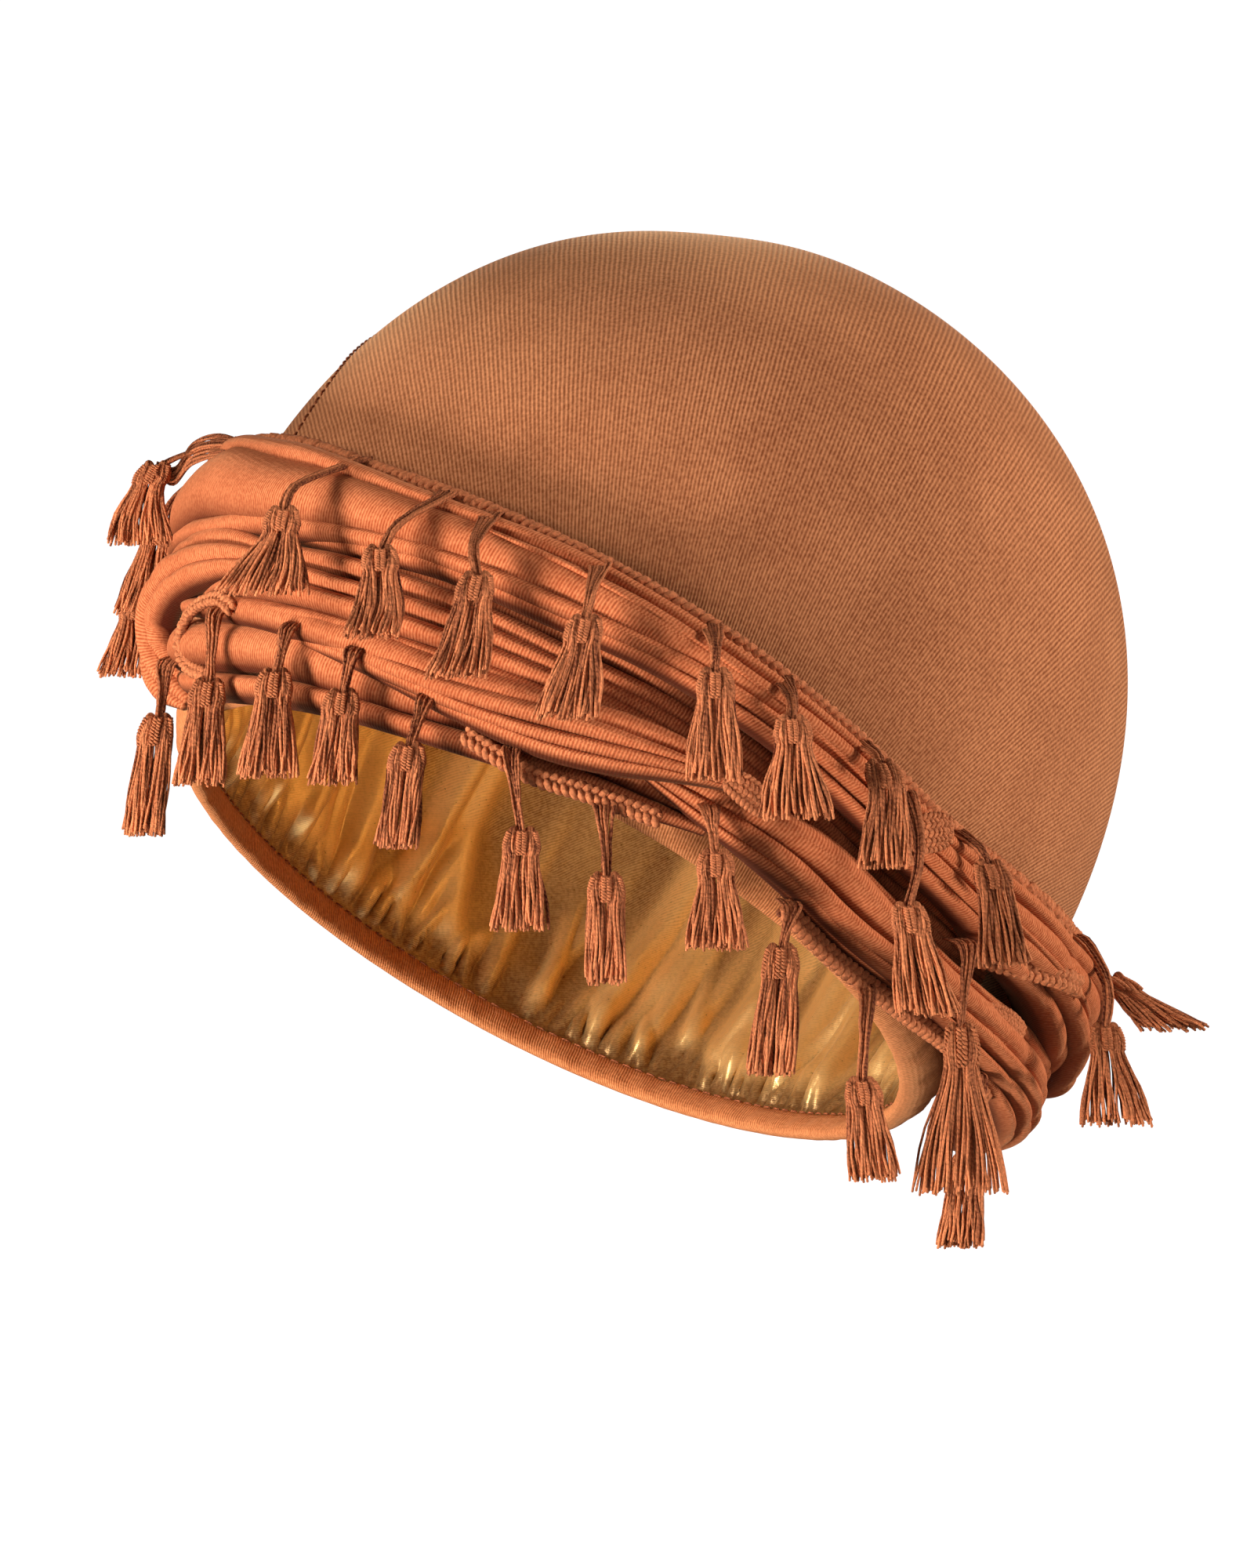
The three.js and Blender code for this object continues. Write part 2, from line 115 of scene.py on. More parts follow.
# The scarf's strands: where a section lies round the cap in degrees from the front, its height,
# how far it stands off the wall, and its half sizes across the wall and out from it.
STRANDS = {
    "front_sash": [
        (-67, 7, 9, 1.4, 1.8), (-54, 4.4, 10, 2.4, 3.2), (-42, 2.2, 10.4, 3.1, 3.8),
        (-31, 0.4, 10.6, 3.7, 4), (-21, -0.6, 10.6, 4.5, 4.2), (-11, -0.4, 10.6, 5.3, 4.4),
        (-3, 1.2, 10.6, 5.2, 4.2), (4, 3.2, 10.2, 3.8, 3.6), (10, 4.8, 9.2, 2, 2.4),
        (13, 5.4, 8.2, 0.8, 1.2),
    ],
    "right_sash": [
        (2, 2, 5, 1.8, 1.4), (10, 1.6, 7, 3.6, 3.4), (17, 1.6, 8.2, 4.8, 4.8), (24, 1.6, 8.6, 5.6, 5.4),
        (34, 0.8, 8.6, 5.4, 5.4), (46, 1.4, 8.6, 4.7, 5.2), (56, 3, 9, 5, 5.8), (66, 4.4, 9.8, 6.3, 6.8),
        (78, 5.2, 10.6, 7.4, 7.8), (89, 5.4, 9.8, 7.6, 7), (97, 5.6, 7.4, 5.4, 4.4),
        (101, 5.8, 5.4, 2.2, 1.8),
    ],
    "upper_roll": [
        (-92, 33, 2.6, 3.2, 1.4), (-82, 32, 5.6, 9, 4.6), (-68, 29.5, 7.2, 9.8, 6.2),
        (-56, 26.5, 7.4, 8.8, 6.4), (-43, 23.6, 7.2, 7.2, 6.2), (-28, 21.8, 6.8, 6.3, 5.8),
        (-12, 20.3, 6.6, 5.8, 5.6), (4, 19, 6.4, 5.4, 5.4), (20, 17, 6.2, 5, 5.2),
        (34, 15.4, 6.4, 5.2, 5.4), (46, 16.4, 7, 6, 6), (60, 19, 8.2, 6.8, 7), (75, 20.6, 9.2, 7.8, 8),
        (87, 20.6, 8.6, 7.6, 7.2), (95, 20.4, 6.4, 5.6, 4.8), (99, 20.2, 4.2, 2.4, 2),
    ],
    "side_loop": [
        (-49, 12.6, 9, 1.6, 1.6), (-58, 13.4, 9.8, 3.6, 3.4), (-67, 12.4, 10.2, 4.6, 4),
        (-73, 8.6, 9.8, 4.8, 4.2), (-74.5, 3.2, 9, 4.6, 4), (-73.5, -1.4, 7.4, 4, 3.2),
        (-71, -4.6, 4.6, 2, 1.4),
    ],
    "lower_roll": [
        (-70.5, 0.8, 5.6, 2.8, 2.6), (-65, 0.4, 7.8, 5, 5), (-52, -0.6, 7.6, 5, 5.2),
        (-40, -1.8, 7.2, 4.8, 4.8), (-28, -2.4, 6, 4.4, 3.6), (-14, -2.2, 5, 4.2, 2.6),
        (0, -1, 4.4, 3.8, 2), (12, 0, 3.8, 2, 1.2),
    ],
    "middle_pleats": [
        (-67, 11, 4.6, 2.6, 2.4), (-54, 11.4, 6.8, 5.4, 5.2), (-42, 10.4, 7, 5.8, 5.4),
        (-28, 9.4, 6.4, 5.6, 4.8), (-14, 9.4, 5.4, 5.2, 3.8), (0, 10, 4.6, 4.6, 3), (16, 9.4, 4, 4, 2.4),
        (32, 7.8, 3.8, 3.6, 2.2), (46, 9, 3.8, 3.2, 2.2), (58, 11.6, 3.2, 1.4, 1),
    ],
}

# The folds that a strand is gathered from. Each fold is a table of sections at even steps along the
# strand: its place across the wall, positive downwards, and out from it, then its half sizes in those
# directions, all in hundredths of the strand's own half sizes.
FOLDS = {
    "front_sash": [
        [(0, 0, 100, 90), (0, 0, 100, 95), (-15, 0, 85, 95), (-45, 8, 55, 90), (-45, 10, 50, 90)],
        [(30, -40, 40, 40), (35, -30, 50, 55), (42, 2, 52, 86), (10, 16, 36, 92), (5, 20, 32, 95)],
        [(50, -50, 30, 30), (60, -40, 30, 40), (80, -16, 26, 70), (56, 6, 30, 86), (40, 10, 30, 85)],
        [(60, -50, 30, 30), (60, -50, 30, 40), (80, -30, 26, 50), (90, -10, 22, 70), (70, 0, 28, 80)],
    ],
    "right_sash": [
        [(-30, 0, 66, 90), (-24, 8, 66, 96), (-12, 12, 60, 92), (-30, 10, 46, 86), (-6, 5, 92, 95)],
        [(45, -10, 46, 80), (52, 0, 40, 84), (44, 12, 34, 86), (16, 26, 30, 80), (60, -10, 48, 80)],
        [(85, -20, 26, 60), (90, -10, 24, 60), (86, 4, 26, 70), (58, 16, 28, 74), (72, -30, 30, 50)],
        [(-85, -20, 24, 60), (-86, -10, 24, 62), (-72, 6, 28, 72), (-86, 0, 40, 74), (-72, -10, 44, 78)],
        [(95, -40, 20, 40), (95, -40, 20, 40), (98, -20, 22, 50), (94, 4, 24, 62), (60, -40, 30, 40)],
    ],
    "upper_roll": [
        [(8, 0, 80, 92), (10, 0, 82, 96), (4, 0, 72, 92),
         (-10, 5, 58, 90), (-6, 4, 56, 88), (0, 0, 92, 96)],
        [(-72, -10, 34, 62), (-72, 0, 34, 66), (-72, 2, 32, 64),
         (-66, 12, 32, 68), (-58, 14, 36, 76), (-64, -5, 44, 80)],
        [(86, -20, 26, 50), (86, -10, 26, 56), (70, 10, 32, 70),
         (42, 24, 32, 74), (46, 20, 36, 76), (62, 0, 46, 82)],
        [(60, -50, 20, 30), (90, -30, 20, 40), (96, -6, 20, 56),
         (82, 10, 24, 64), (90, -2, 34, 66), (70, -40, 30, 40)],
        [(-20, -50, 20, 40), (-30, -40, 20, 50), (-34, 16, 18, 72),
         (10, 34, 16, 66), (20, 30, 18, 66), (20, -40, 20, 40)],
    ],
    "side_loop": [
        [(0, 10, 52, 92), (0, 24, 54, 95), (0, 24, 54, 95), (10, 10, 60, 95)],
        [(75, -10, 54, 84), (92, 6, 62, 86), (95, 4, 64, 86), (70, 0, 56, 86)],
        [(-70, -10, 40, 80), (-76, 0, 42, 82), (-78, 0, 42, 82), (-60, 0, 46, 86)],
    ],
    "lower_roll": [
        [(-6, 0, 98, 100), (-6, 0, 96, 100), (-8, 0, 92, 100), (-20, 4, 74, 100), (-20, 4, 70, 100)],
        [(100, -50, 44, 60), (120, -50, 44, 70), (114, -44, 42, 80), (96, -24, 50, 90), (90, -10, 50, 90)],
    ],
    "middle_pleats": [
        [(-116, -20, 36, 74), (-112, -4, 38, 84), (-110, -10, 36, 80),
         (-100, -50, 36, 60), (-100, -50, 40, 60), (-100, 0, 40, 90)],
        [(-50, 0, 36, 90), (-46, 10, 38, 98), (-44, 6, 36, 94),
         (-40, -60, 36, 60), (-36, -60, 40, 60), (-36, 6, 40, 100)],
        [(10, 6, 34, 94), (14, 12, 36, 100), (12, 6, 34, 94),
         (16, -60, 36, 60), (20, -60, 40, 60), (20, 10, 40, 100)],
        [(70, 0, 36, 90), (70, 6, 38, 96), (68, 2, 36, 90),
         (72, -40, 36, 70), (76, -50, 40, 60), (80, 0, 40, 92)],
        [(120, -20, 34, 70), (122, -16, 36, 74), (120, -16, 34, 70),
         (120, -30, 36, 66), (122, -40, 40, 60), (124, 0, 40, 80)],
    ],
}

# Puckers that cross a strand near its end: share along it, slant, depth as a share, and width in mm.
PUCKERS = {
    "right_sash": [(0.62, 0.8, 0.10, 1.6), (0.74, 0.6, 0.12, 1.4), (0.86, 0.8, 0.12, 1.4)],
    "upper_roll": [(0.78, 0.6, 0.12, 1.4), (0.85, 0.9, 0.13, 1.3), (0.91, 0.7, 0.12, 1.2)],
    "side_loop": [(0.45, 1.0, 0.12, 1.8), (0.62, 0.8, 0.12, 1.8)],
}

# The braided edges of the scarf: degrees round, height and stand-off of each point.
BRAIDS = {
    "upper_braid": [
        (-97, 36, 3.4), (-84, 42.6, 4.8), (-70, 40, 4.2), (-56, 36, 4), (-43, 31.4, 4), (-28, 28.4, 4),
        (-12, 26.2, 4), (4, 24.4, 4), (20, 22.2, 4), (34, 20.8, 4), (46, 22.8, 4.4), (60, 26.6, 5),
        (72, 29.2, 6.4), (84, 29.4, 8),
    ],
    "lower_braid_left": [
        (-57.5, -6.4, 12.6), (-61.8, -4.6, 12.8), (-63.4, -0.8, 13.4), (-60.6, 3, 13.8), (-56, 4.4, 14),
        (-52.3, 2.6, 14.2),
    ],
    "lower_braid_middle": [
        (-18, -7.2, 13.2), (-10, -8.6, 12.6), (-2, -7, 11.2), (6, -5.6, 11.6),
    ],
    "lower_braid_right": [
        (24, -6.4, 12), (34, -7.2, 11.4), (46, -5.8, 12.2), (58, -3.2, 13.4), (68, -2.4, 15.4),
    ],
}

# Patches of woven braid, by the braid that they belong to: the points of each, how many plaits lie
# abreast, and the length of a crossing.
GIMPS = {
    "upper_braid": [([(30.0, 13.4, 10.8), (32.2, 16.2, 11.4), (34.4, 19.2, 10.2)], 4, 2.8)],
    "lower_braid_middle": [([(10.0, 4.4, 11.4), (12.6, 4.2, 11.8), (15.4, 3.8, 11.0)], 3, 2.8)],
    "lower_braid_right": [
        ([(49.0, 9.0, 8.8), (53.9, 12.3, 12.0), (59.0, 16.2, 14.6), (63.0, 18.4, 14.8)], 1, 5.2),
        ([(55.4, 3.6, 12.4), (59.6, 5.0, 13.2), (63.6, 6.6, 13.4)], 4, 2.6),
    ],
}

# Points in mm of the spray of threads that arches over the scarf's left end, and the tassel that it
# ends in.
ARCH = [
    (-45.0, -50.0, 77.4), (-52.2, -38.0, 82.2), (-58.7, -24.0, 84.2), (-64.1, -15.0, 83.6),
    (-67.4, -13.0, 80.0),
]
ARCH_TASSEL = 15

# The crown's side seam: degrees round and height of points up it and over the back.
CROWN_SEAM = [
    (-68.6, 30), (-69, 46), (-71, 60), (-75, 69), (-83, 82), (-97, 98), (-122, 110), (-150, 109),
    (-166, 98), (-174, 80), (-178, 58), (-180, 34), (-180, 9),
]

# The line that the crown's ribs fan out from, and the distance from it at which they have their pitch.
RIB_FAN_X = -1.0
RIB_FAN_Z = -40.0
RIB_FAN_REACH = 105.0

# How far a braid is lifted off its line, and its pitch as a share of the full plait pitch.
BRAID_LIFT = {"upper_braid": 1.6}
PLAIT_SHARE = {
    "upper_braid": 0.85,
    "lower_braid_left": 0.6,
    "lower_braid_middle": 0.72,
    "lower_braid_right": 0.8,
}

# The tassels: how far a neck goes in behind its braid and up, and the rings of a tassel's solid that
# its threads follow.
TASSEL_COUNT = 26
NECK_TUCK = 4.0
NECK_RISE = 1.4
SKIRT_RINGS = (0, 1, 2, 3, 4, 5, 7)

# Sides of a tassel's or stitch's thread and of a braid's, and the tone of a stitch.
THREAD_SIDES = 5
BRAID_SIDES = 7
STITCH_TONE = 0.1

# The floor's gap below the cap, its reach, the bend up to its backdrop and the backdrop's top, in mm, and
# the strength of their glow.
FLOOR_CLEARANCE = 0.6
FLOOR_REACH = 2600.0
BACKDROP_BEND = 400.0
BACKDROP_TOP = 4200.0
FLOOR_GLOW = 1.0

# The lamps: place in metres, width in metres and power in watts. All aim at one point.
LAMPS = {
    "left": ((-1.05, -0.5, 0.42), 0.4, 10.0),
    "right": ((1.2, -0.3, 0.36), 0.4, 16.5),
    "front": ((0.1, -1.25, 0.3), 0.3, 1.6),
    "mouth": ((-0.66, -0.6, -0.36), 0.25, 13.0),
    "bounce": ((0.28, -0.1, -0.45), 0.4, 0.3),
    "back": ((0.1, 1.4, 0.5), 0.5, 9.0),
}
LAMP_AIM = np.array([0.02, 0.0, 0.03])
WORLD_GLOW = 0.05


def srgb(red, green, blue):
    """A linear colour from display values of 0 to 255."""
    share = np.array([red, green, blue]) / 255.0
    linear = np.where(share <= 0.04045, share / 12.92, ((share + 0.055) / 1.055) ** 2.4)
    return tuple(float(value) for value in linear)


def colour_property(name, description, default):
    """A colour that a user may change."""
    return bpy.props.FloatVectorProperty(
        name=name, description=description, default=default, subtype="COLOR", size=3, min=0, max=1
    )


def length_property(name, description, default):
    """A length in metres that a user may change."""
    kind = {"unit": "LENGTH", "subtype": "DISTANCE", "precision": 5}
    return bpy.props.FloatProperty(name=name, description=description, default=default, min=0, **kind)


class TurbanSizes(bpy.types.PropertyGroup):
    """Sizes of the cloth's detail and the threads."""

    wale_pitch: length_property("Wale pitch", "Distance between the knit's ribs", 0.6 * MM)
    satin_pitch: length_property("Satin pitch", "Distance between the satin's twill lines", 0.6 * MM)
    fold_depth: length_property("Lining folds", "How far the lining's folds stand in", 5.6 * MM)
    thread_radius: length_property("Thread radius", "Half thickness of a tassel's thread", 0.25 * MM)
    plait_pitch: length_property("Plait pitch", "Length of one full crossing of the braid", 6.0 * MM)
    skirt_threads: bpy.props.IntProperty(
        name="Skirt threads", description="Threads in a tassel's skirt", default=78, min=6, max=120
    )
    neck_threads: bpy.props.IntProperty(
        name="Neck threads", description="Threads in a tassel's neck", default=12, min=3, max=20
    )


class TurbanColours(bpy.types.PropertyGroup):
    """Colours of the cloth, the threads and the floor."""

    crown_light: colour_property("Crown, light", "Knit of the crown on its ribs", srgb(224, 145, 95))
    crown_dark: colour_property("Crown, dark", "Knit of the crown between its ribs", srgb(122, 58, 30))
    # The hem's knit is painted lighter than the crown's, standing in for light on its shaded inner side.
    hem_light: colour_property("Hem, light", "Knit of the hem on its ribs", srgb(240, 156, 98))
    hem_dark: colour_property("Hem, dark", "Knit of the hem between its ribs", srgb(162, 84, 44))
    scarf_light: colour_property("Scarf, light", "Knit of the scarf on its ribs", srgb(228, 137, 88))
    scarf_dark: colour_property("Scarf, dark", "Knit of the scarf between its ribs", srgb(150, 62, 30))
    # The crease shade is painted shade: the colour that the scarf's folds darken to down their sides.
    scarf_crease_shade: colour_property("Scarf, crease", "Knit of the scarf down in its folds", srgb(72, 22, 9))
    # The lining's light and dark are the ends of its painted fold shade as well as of its weave: light on
    # the ridges, dark down in the folds.
    lining_light: colour_property("Lining, light", "Satin on top of its folds", srgb(255, 208, 132))
    lining_dark: colour_property("Lining, dark", "Satin down in its folds", srgb(92, 44, 15))
    # The thread's dark colour is also its painted shade: in the middle layer of a tassel's skirt and where
    # a braid's threads dip under the others.
    thread_light: colour_property("Thread, light", "Threads at their cut ends", srgb(224, 133, 84))
    thread_dark: colour_property("Thread, dark", "Threads in the bundle", srgb(72, 24, 11))
    floor: colour_property("Floor", "Floor and backdrop", srgb(140, 140, 140))


def sizes():
    return bpy.context.scene.turban_sizes


def colours():
    return bpy.context.scene.turban_colours


# Shapes of the cap as functions of an angle round it and a height.


def held(points):
    """Upright points in mm, leaned back about X and then tipped over about Y."""
    x, y, z = np.moveaxis(points, -1, 0)
    leaned_y = y * math.cos(HELD_BACK) + z * math.sin(HELD_BACK)
    leaned_z = z * math.cos(HELD_BACK) - y * math.sin(HELD_BACK)
    tipped_x = x * math.cos(HELD_TIP) + leaned_z * math.sin(HELD_TIP)
    tipped_z = leaned_z * math.cos(HELD_TIP) - x * math.sin(HELD_TIP)
    return np.stack([tipped_x, leaned_y, tipped_z], -1)


def half_sizes(height):
    """Half width and half length of the wall: a superellipse above its widest height, and a parabola that
    draws it in to the mouth below."""
    above = np.clip((height - WIDEST_AT) / (DOME_HEIGHT - WIDEST_AT), 0, 1)
    closing = (1 - above**SQUARENESS) ** (1 / SQUARENESS)
    below = np.maximum(0, (WIDEST_AT - height) / WIDEST_AT) ** 2
    half = DOME_HALF - (DOME_HALF - MOUTH_HALF) * below[..., None]
    return half * closing[..., None]


def wall_point(around, height, stand_off):
    """A point standing off the wall: the ellipse of that height, grown by the stand-off."""
    angle = np.radians(around)
    half = half_sizes(height) + np.asarray(stand_off)[..., None]
    return np.stack([half[..., 0] * np.sin(angle), -half[..., 1] * np.cos(angle), height + 0 * angle], -1)


def wall_out(around):
    """The level direction out of the wall: the gradient of the dome's widest ellipse."""
    angle = np.radians(around)
    return unit(np.stack([DOME_HALF[1] * np.sin(angle), -DOME_HALF[0] * np.cos(angle), 0 * angle], -1))


def hem_edge(around):
    """Height of the hem's lower edge: level at the back and dipping by a cosine towards the front."""
    return -HEM_DIP * (1 + np.cos(np.radians(around))) / 2


def dome_point(around, share, inset):
    """A point of a dome of cloth: straight up the wall for the first share of it, and then over a
    superellipse to the top, all moved in by the inset."""
    edge = hem_edge(around) + HEM_TALL + HEM_GAP
    lift = np.minimum(share / SKIRT_SHARE, 1)
    lower = wall_point(around, edge + (WIDEST_AT - edge) * lift, -inset)
    climb = np.clip((share - SKIRT_SHARE) / (1 - SKIRT_SHARE), 0, 1) * (math.pi / 2)
    closing = np.maximum(0, np.cos(climb)) ** (2 / SQUARENESS)
    rise = np.sin(climb) ** (2 / SQUARENESS)
    angle = np.radians(around)
    upper = np.stack(
        [
            (DOME_HALF[0] - inset) * closing * np.sin(angle),
            -(DOME_HALF[1] - inset) * closing * np.cos(angle),
            WIDEST_AT + (DOME_HEIGHT - inset - WIDEST_AT) * rise,
        ],
        -1,
    )
    return np.where((share <= SKIRT_SHARE)[..., None], lower, upper)


def dome_top(inset):
    """The top point of a dome of cloth, moved in by the inset."""
    return held(dome_point(np.zeros(1), np.ones(1), np.full(1, inset)))[0]


def smooth_rows(rows, places):
    """A curve through rows of numbers at fractional row numbers: the cubic of the four nearest rows, with
    each end row mirrored past the end."""
    rows = np.asarray(rows, float)
    padded = np.concatenate([[2 * rows[0] - rows[1]], rows, [2 * rows[-1] - rows[-2]]])
    start = np.clip(np.floor(places).astype(int), 0, len(rows) - 2)
    t = (places - start).reshape((-1,) + (1,) * (rows.ndim - 1))
    a, b, c, d = (padded[start + i] for i in range(4))
    return 0.5 * (2 * b + (c - a) * t + (2 * a - 5 * b + 4 * c - d) * t**2 + (3 * b - a - 3 * c + d) * t**3)


def unit(vectors):
    """Vectors made one long."""
    return vectors / np.maximum(np.linalg.norm(vectors, axis=-1, keepdims=True), 1e-12)


def distance_along(points):
    """Distance run along each line of points, from its first."""
    steps = np.linalg.norm(np.diff(points, axis=-2), axis=-1)
    return np.concatenate([np.zeros(steps.shape[:-1] + (1,)), np.cumsum(steps, axis=-1)], -1)


def wall_run(rows, count):
    """A path along the wall through a table's rows, at equal steps of its length, with its table values,
    its centre, its distance run, and its axes across the wall and out from it."""
    rows = np.asarray(rows, float)
    fine = np.linspace(0, len(rows) - 1, 8 * count)
    values = smooth_rows(rows, fine)
    run = distance_along(wall_point(values[:, 0], values[:, 1], values[:, 2]))
    places = np.interp(np.linspace(0, run[-1], count), run, fine)
    values = smooth_rows(rows, places)
    centre = wall_point(values[:, 0], values[:, 1], values[:, 2])
    along = unit(np.gradient(centre, axis=0))
    across = unit(np.cross(along, wall_out(values[:, 0])))
    out = np.cross(across, along)
    return {"values": values, "centre": centre, "across": across, "out": out, "run": distance_along(centre)}


def ripple(along, turn, seed, pitch, turns=4, waves=7):
    """Smooth unevenness from -1 to 1: a sum of sine waves that run along a length and a whole number of
    times round a girth."""
    rng = np.random.default_rng(seed)
    total = np.zeros(np.broadcast(along, turn).shape)
    for _ in range(waves):
        speed = 2 * math.pi / (pitch * rng.uniform(0.6, 1.7))
        rounds = rng.integers(-turns, turns + 1)
        phase = rng.uniform(0, 2 * math.pi)
        total += np.sin(speed * along + rounds * turn + phase)
    return total / math.sqrt(2 * waves)


# Meshes made from grids of points.


def mesh_piece(name, points, quads, triangles, corners, tone=None):
    """An object from points in mm, faces by point number, and each face corner's place on the cloth."""
    mesh = bpy.data.meshes.new(name)
    loops = np.concatenate([quads.ravel(), triangles.ravel()])
    starts = np.concatenate([np.arange(len(quads)) * 4, 4 * len(quads) + np.arange(len(triangles)) * 3])
    mesh.vertices.add(len(points))
    mesh.vertices.foreach_set("co", (points * MM).ravel())
    mesh.loops.add(len(loops))
    mesh.loops.foreach_set("vertex_index", loops)
    mesh.polygons.add(len(starts))
    mesh.polygons.foreach_set("loop_start", starts)
    mesh.polygons.foreach_set("use_smooth", np.ones(len(starts), bool))
    mesh.uv_layers.new(name="cloth").data.foreach_set("uv", corners.ravel())
    if tone is not None:
        mesh.attributes.new("tone", "FLOAT", "POINT").data.foreach_set("value", tone.ravel())
    mesh.update(calc_edges=True)
    if mesh.validate():
        raise RuntimeError(f"{name} has faces that are not sound")
    piece = bpy.data.objects.new(name, mesh)
    bpy.context.scene.collection.objects.link(piece)
    return piece


def ring_quads(index, place):
    """Faces between neighbouring closed rings of numbered points (ring, point), and each face corner's
    place on the cloth, which has one more column than there are points."""
    beside = np.roll(index, -1, axis=-1)
    quads = np.stack([index[..., :-1, :], beside[..., :-1, :], beside[..., 1:, :], index[..., 1:, :]], -1)
    low, high = place[..., :-1, :, :], place[..., 1:, :, :]
    corners = np.stack([low[..., :-1, :], low[..., 1:, :], high[..., 1:, :], high[..., :-1, :]], -2)
    return quads.reshape(-1, 4), corners.reshape(-1, 2)


def ring_piece(name, points, along, turn, top=None, tone=None):
    """A sheet from closed rings of points (ring, point), which may climb to one top point. Along and turn
    are the place on the cloth."""
    index = np.arange(points[..., 0].size).reshape(points.shape[:2])
    place = np.stack(np.broadcast_arrays(along, turn), -1)
    quads, corners = ring_quads(index, place)
    points = points.reshape(-1, 3)
    triangles = np.zeros((0, 3), int)
    if top is not None:
        pole = np.full(index.shape[1], index.size)
        triangles = np.stack([index[-1], np.roll(index[-1], -1), pole], -1)
        here, there = place[-1, :-1], place[-1, 1:]
        corners = np.concatenate([corners, np.stack([here, there, here], -2).reshape(-1, 2)])
        points = np.concatenate([points, top[None]])
    if tone is not None:
        tone = np.append(tone, 0.0)
    return mesh_piece(name, points, quads, triangles, corners, tone)


def tubes_faces(rings, ends, along, turn):
    """Faces of closed tubes. Rings are (tube, station, point), ends the two points that close each tube,
    and along and turn the place on the cloth."""
    tubes, stations, sides = rings.shape[:3]
    index = np.arange(tubes * stations * sides).reshape(tubes, stations, sides)
    place = np.stack(np.broadcast_arrays(along, turn), -1)
    quads, quad_corners = ring_quads(index, place)
    beside = np.roll(index, -1, axis=2)
    poles = index.size + np.arange(tubes * 2).reshape(tubes, 2)
    first = np.stack([np.repeat(poles[:, :1], sides, 1), beside[:, 0], index[:, 0]], -1)
    last = np.stack([np.repeat(poles[:, 1:], sides, 1), index[:, -1], beside[:, -1]], -1)
    triangles = np.concatenate([first.reshape(-1, 3), last.reshape(-1, 3)])
    here, there = place[:, :, :-1], place[:, :, 1:]
    first_corners = np.stack([here[:, 0], there[:, 0], here[:, 0]], -2).reshape(-1, 2)
    last_corners = np.stack([here[:, -1], here[:, -1], there[:, -1]], -2).reshape(-1, 2)
    points = np.concatenate([rings.reshape(-1, 3), ends.reshape(-1, 3)])
    return points, quads, triangles, np.concatenate([quad_corners, first_corners, last_corners])


def thread_tubes(paths, radius, sides):
    """Round threads about paths (thread, station): rings in the plane across each path, with rounded
    ends."""
    tangent = unit(np.gradient(paths, axis=1))
    first = unit(np.cross(tangent, np.array([0.05, 1.0, 0.03])))
    second = np.cross(tangent, first)
    turn = np.linspace(0, 2 * math.pi, sides, endpoint=False)
    thick = np.broadcast_to(radius, paths.shape[:2])[:, :, None, None]
    wheel = np.cos(turn)[:, None] * first[:, :, None, :] + np.sin(turn)[:, None] * second[:, :, None, :]
    rings = paths[:, :, None, :] + thick * wheel
    reach = thick[:, [0, -1], 0] * 0.6
    ends = paths[:, [0, -1]] + reach * tangent[:, [0, -1]] * np.array([-1, 1])[None, :, None]
    along = distance_along(paths)[:, :, None]
    return rings, ends, along, np.linspace(0, 1, sides + 1)[None, None, :]


def joined_threads(name, groups):
    """One object from groups of threads, each with its paths, radius, sides and tone from 0 to 1."""
    parts = []
    tones = []
    offset = 0
    for paths, radius, sides, tone in groups:
        rings, ends, along, turn = thread_tubes(paths, radius, sides)
        points, quads, triangles, corners = tubes_faces(rings, ends, along, turn)
        parts.append((points, quads + offset, triangles + offset, corners, quads.size))
        ring_tone = np.repeat(np.broadcast_to(tone, paths.shape[:2])[:, :, None], sides, 2)
        tones.append(np.concatenate([ring_tone.ravel(), ring_tone[:, [0, -1], 0].ravel()]))
        offset += len(points)
    points, quads, triangles = (np.concatenate([part[i] for part in parts]) for i in range(3))
    quad_corners = np.concatenate([part[3][: part[4]] for part in parts])
    end_corners = np.concatenate([part[3][part[4] :] for part in parts])
    return mesh_piece(
        name, points, quads, triangles, np.concatenate([quad_corners, end_corners]), np.concatenate(tones)
    )


def give_thickness(piece, thick):
    """Cloth of this thickness in mm, laid to the inner side of its surface."""
    solidify = piece.modifiers.new("cloth", "SOLIDIFY")
    solidify.thickness = thick * MM
    solidify.offset = -1


def settle(piece, nodes, material):
    """The finished piece: its material, what it rides on and the solids that it stands for."""
    piece.data.materials.append(material)
    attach(piece, BODY)
    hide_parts(*nodes)


# Materials.


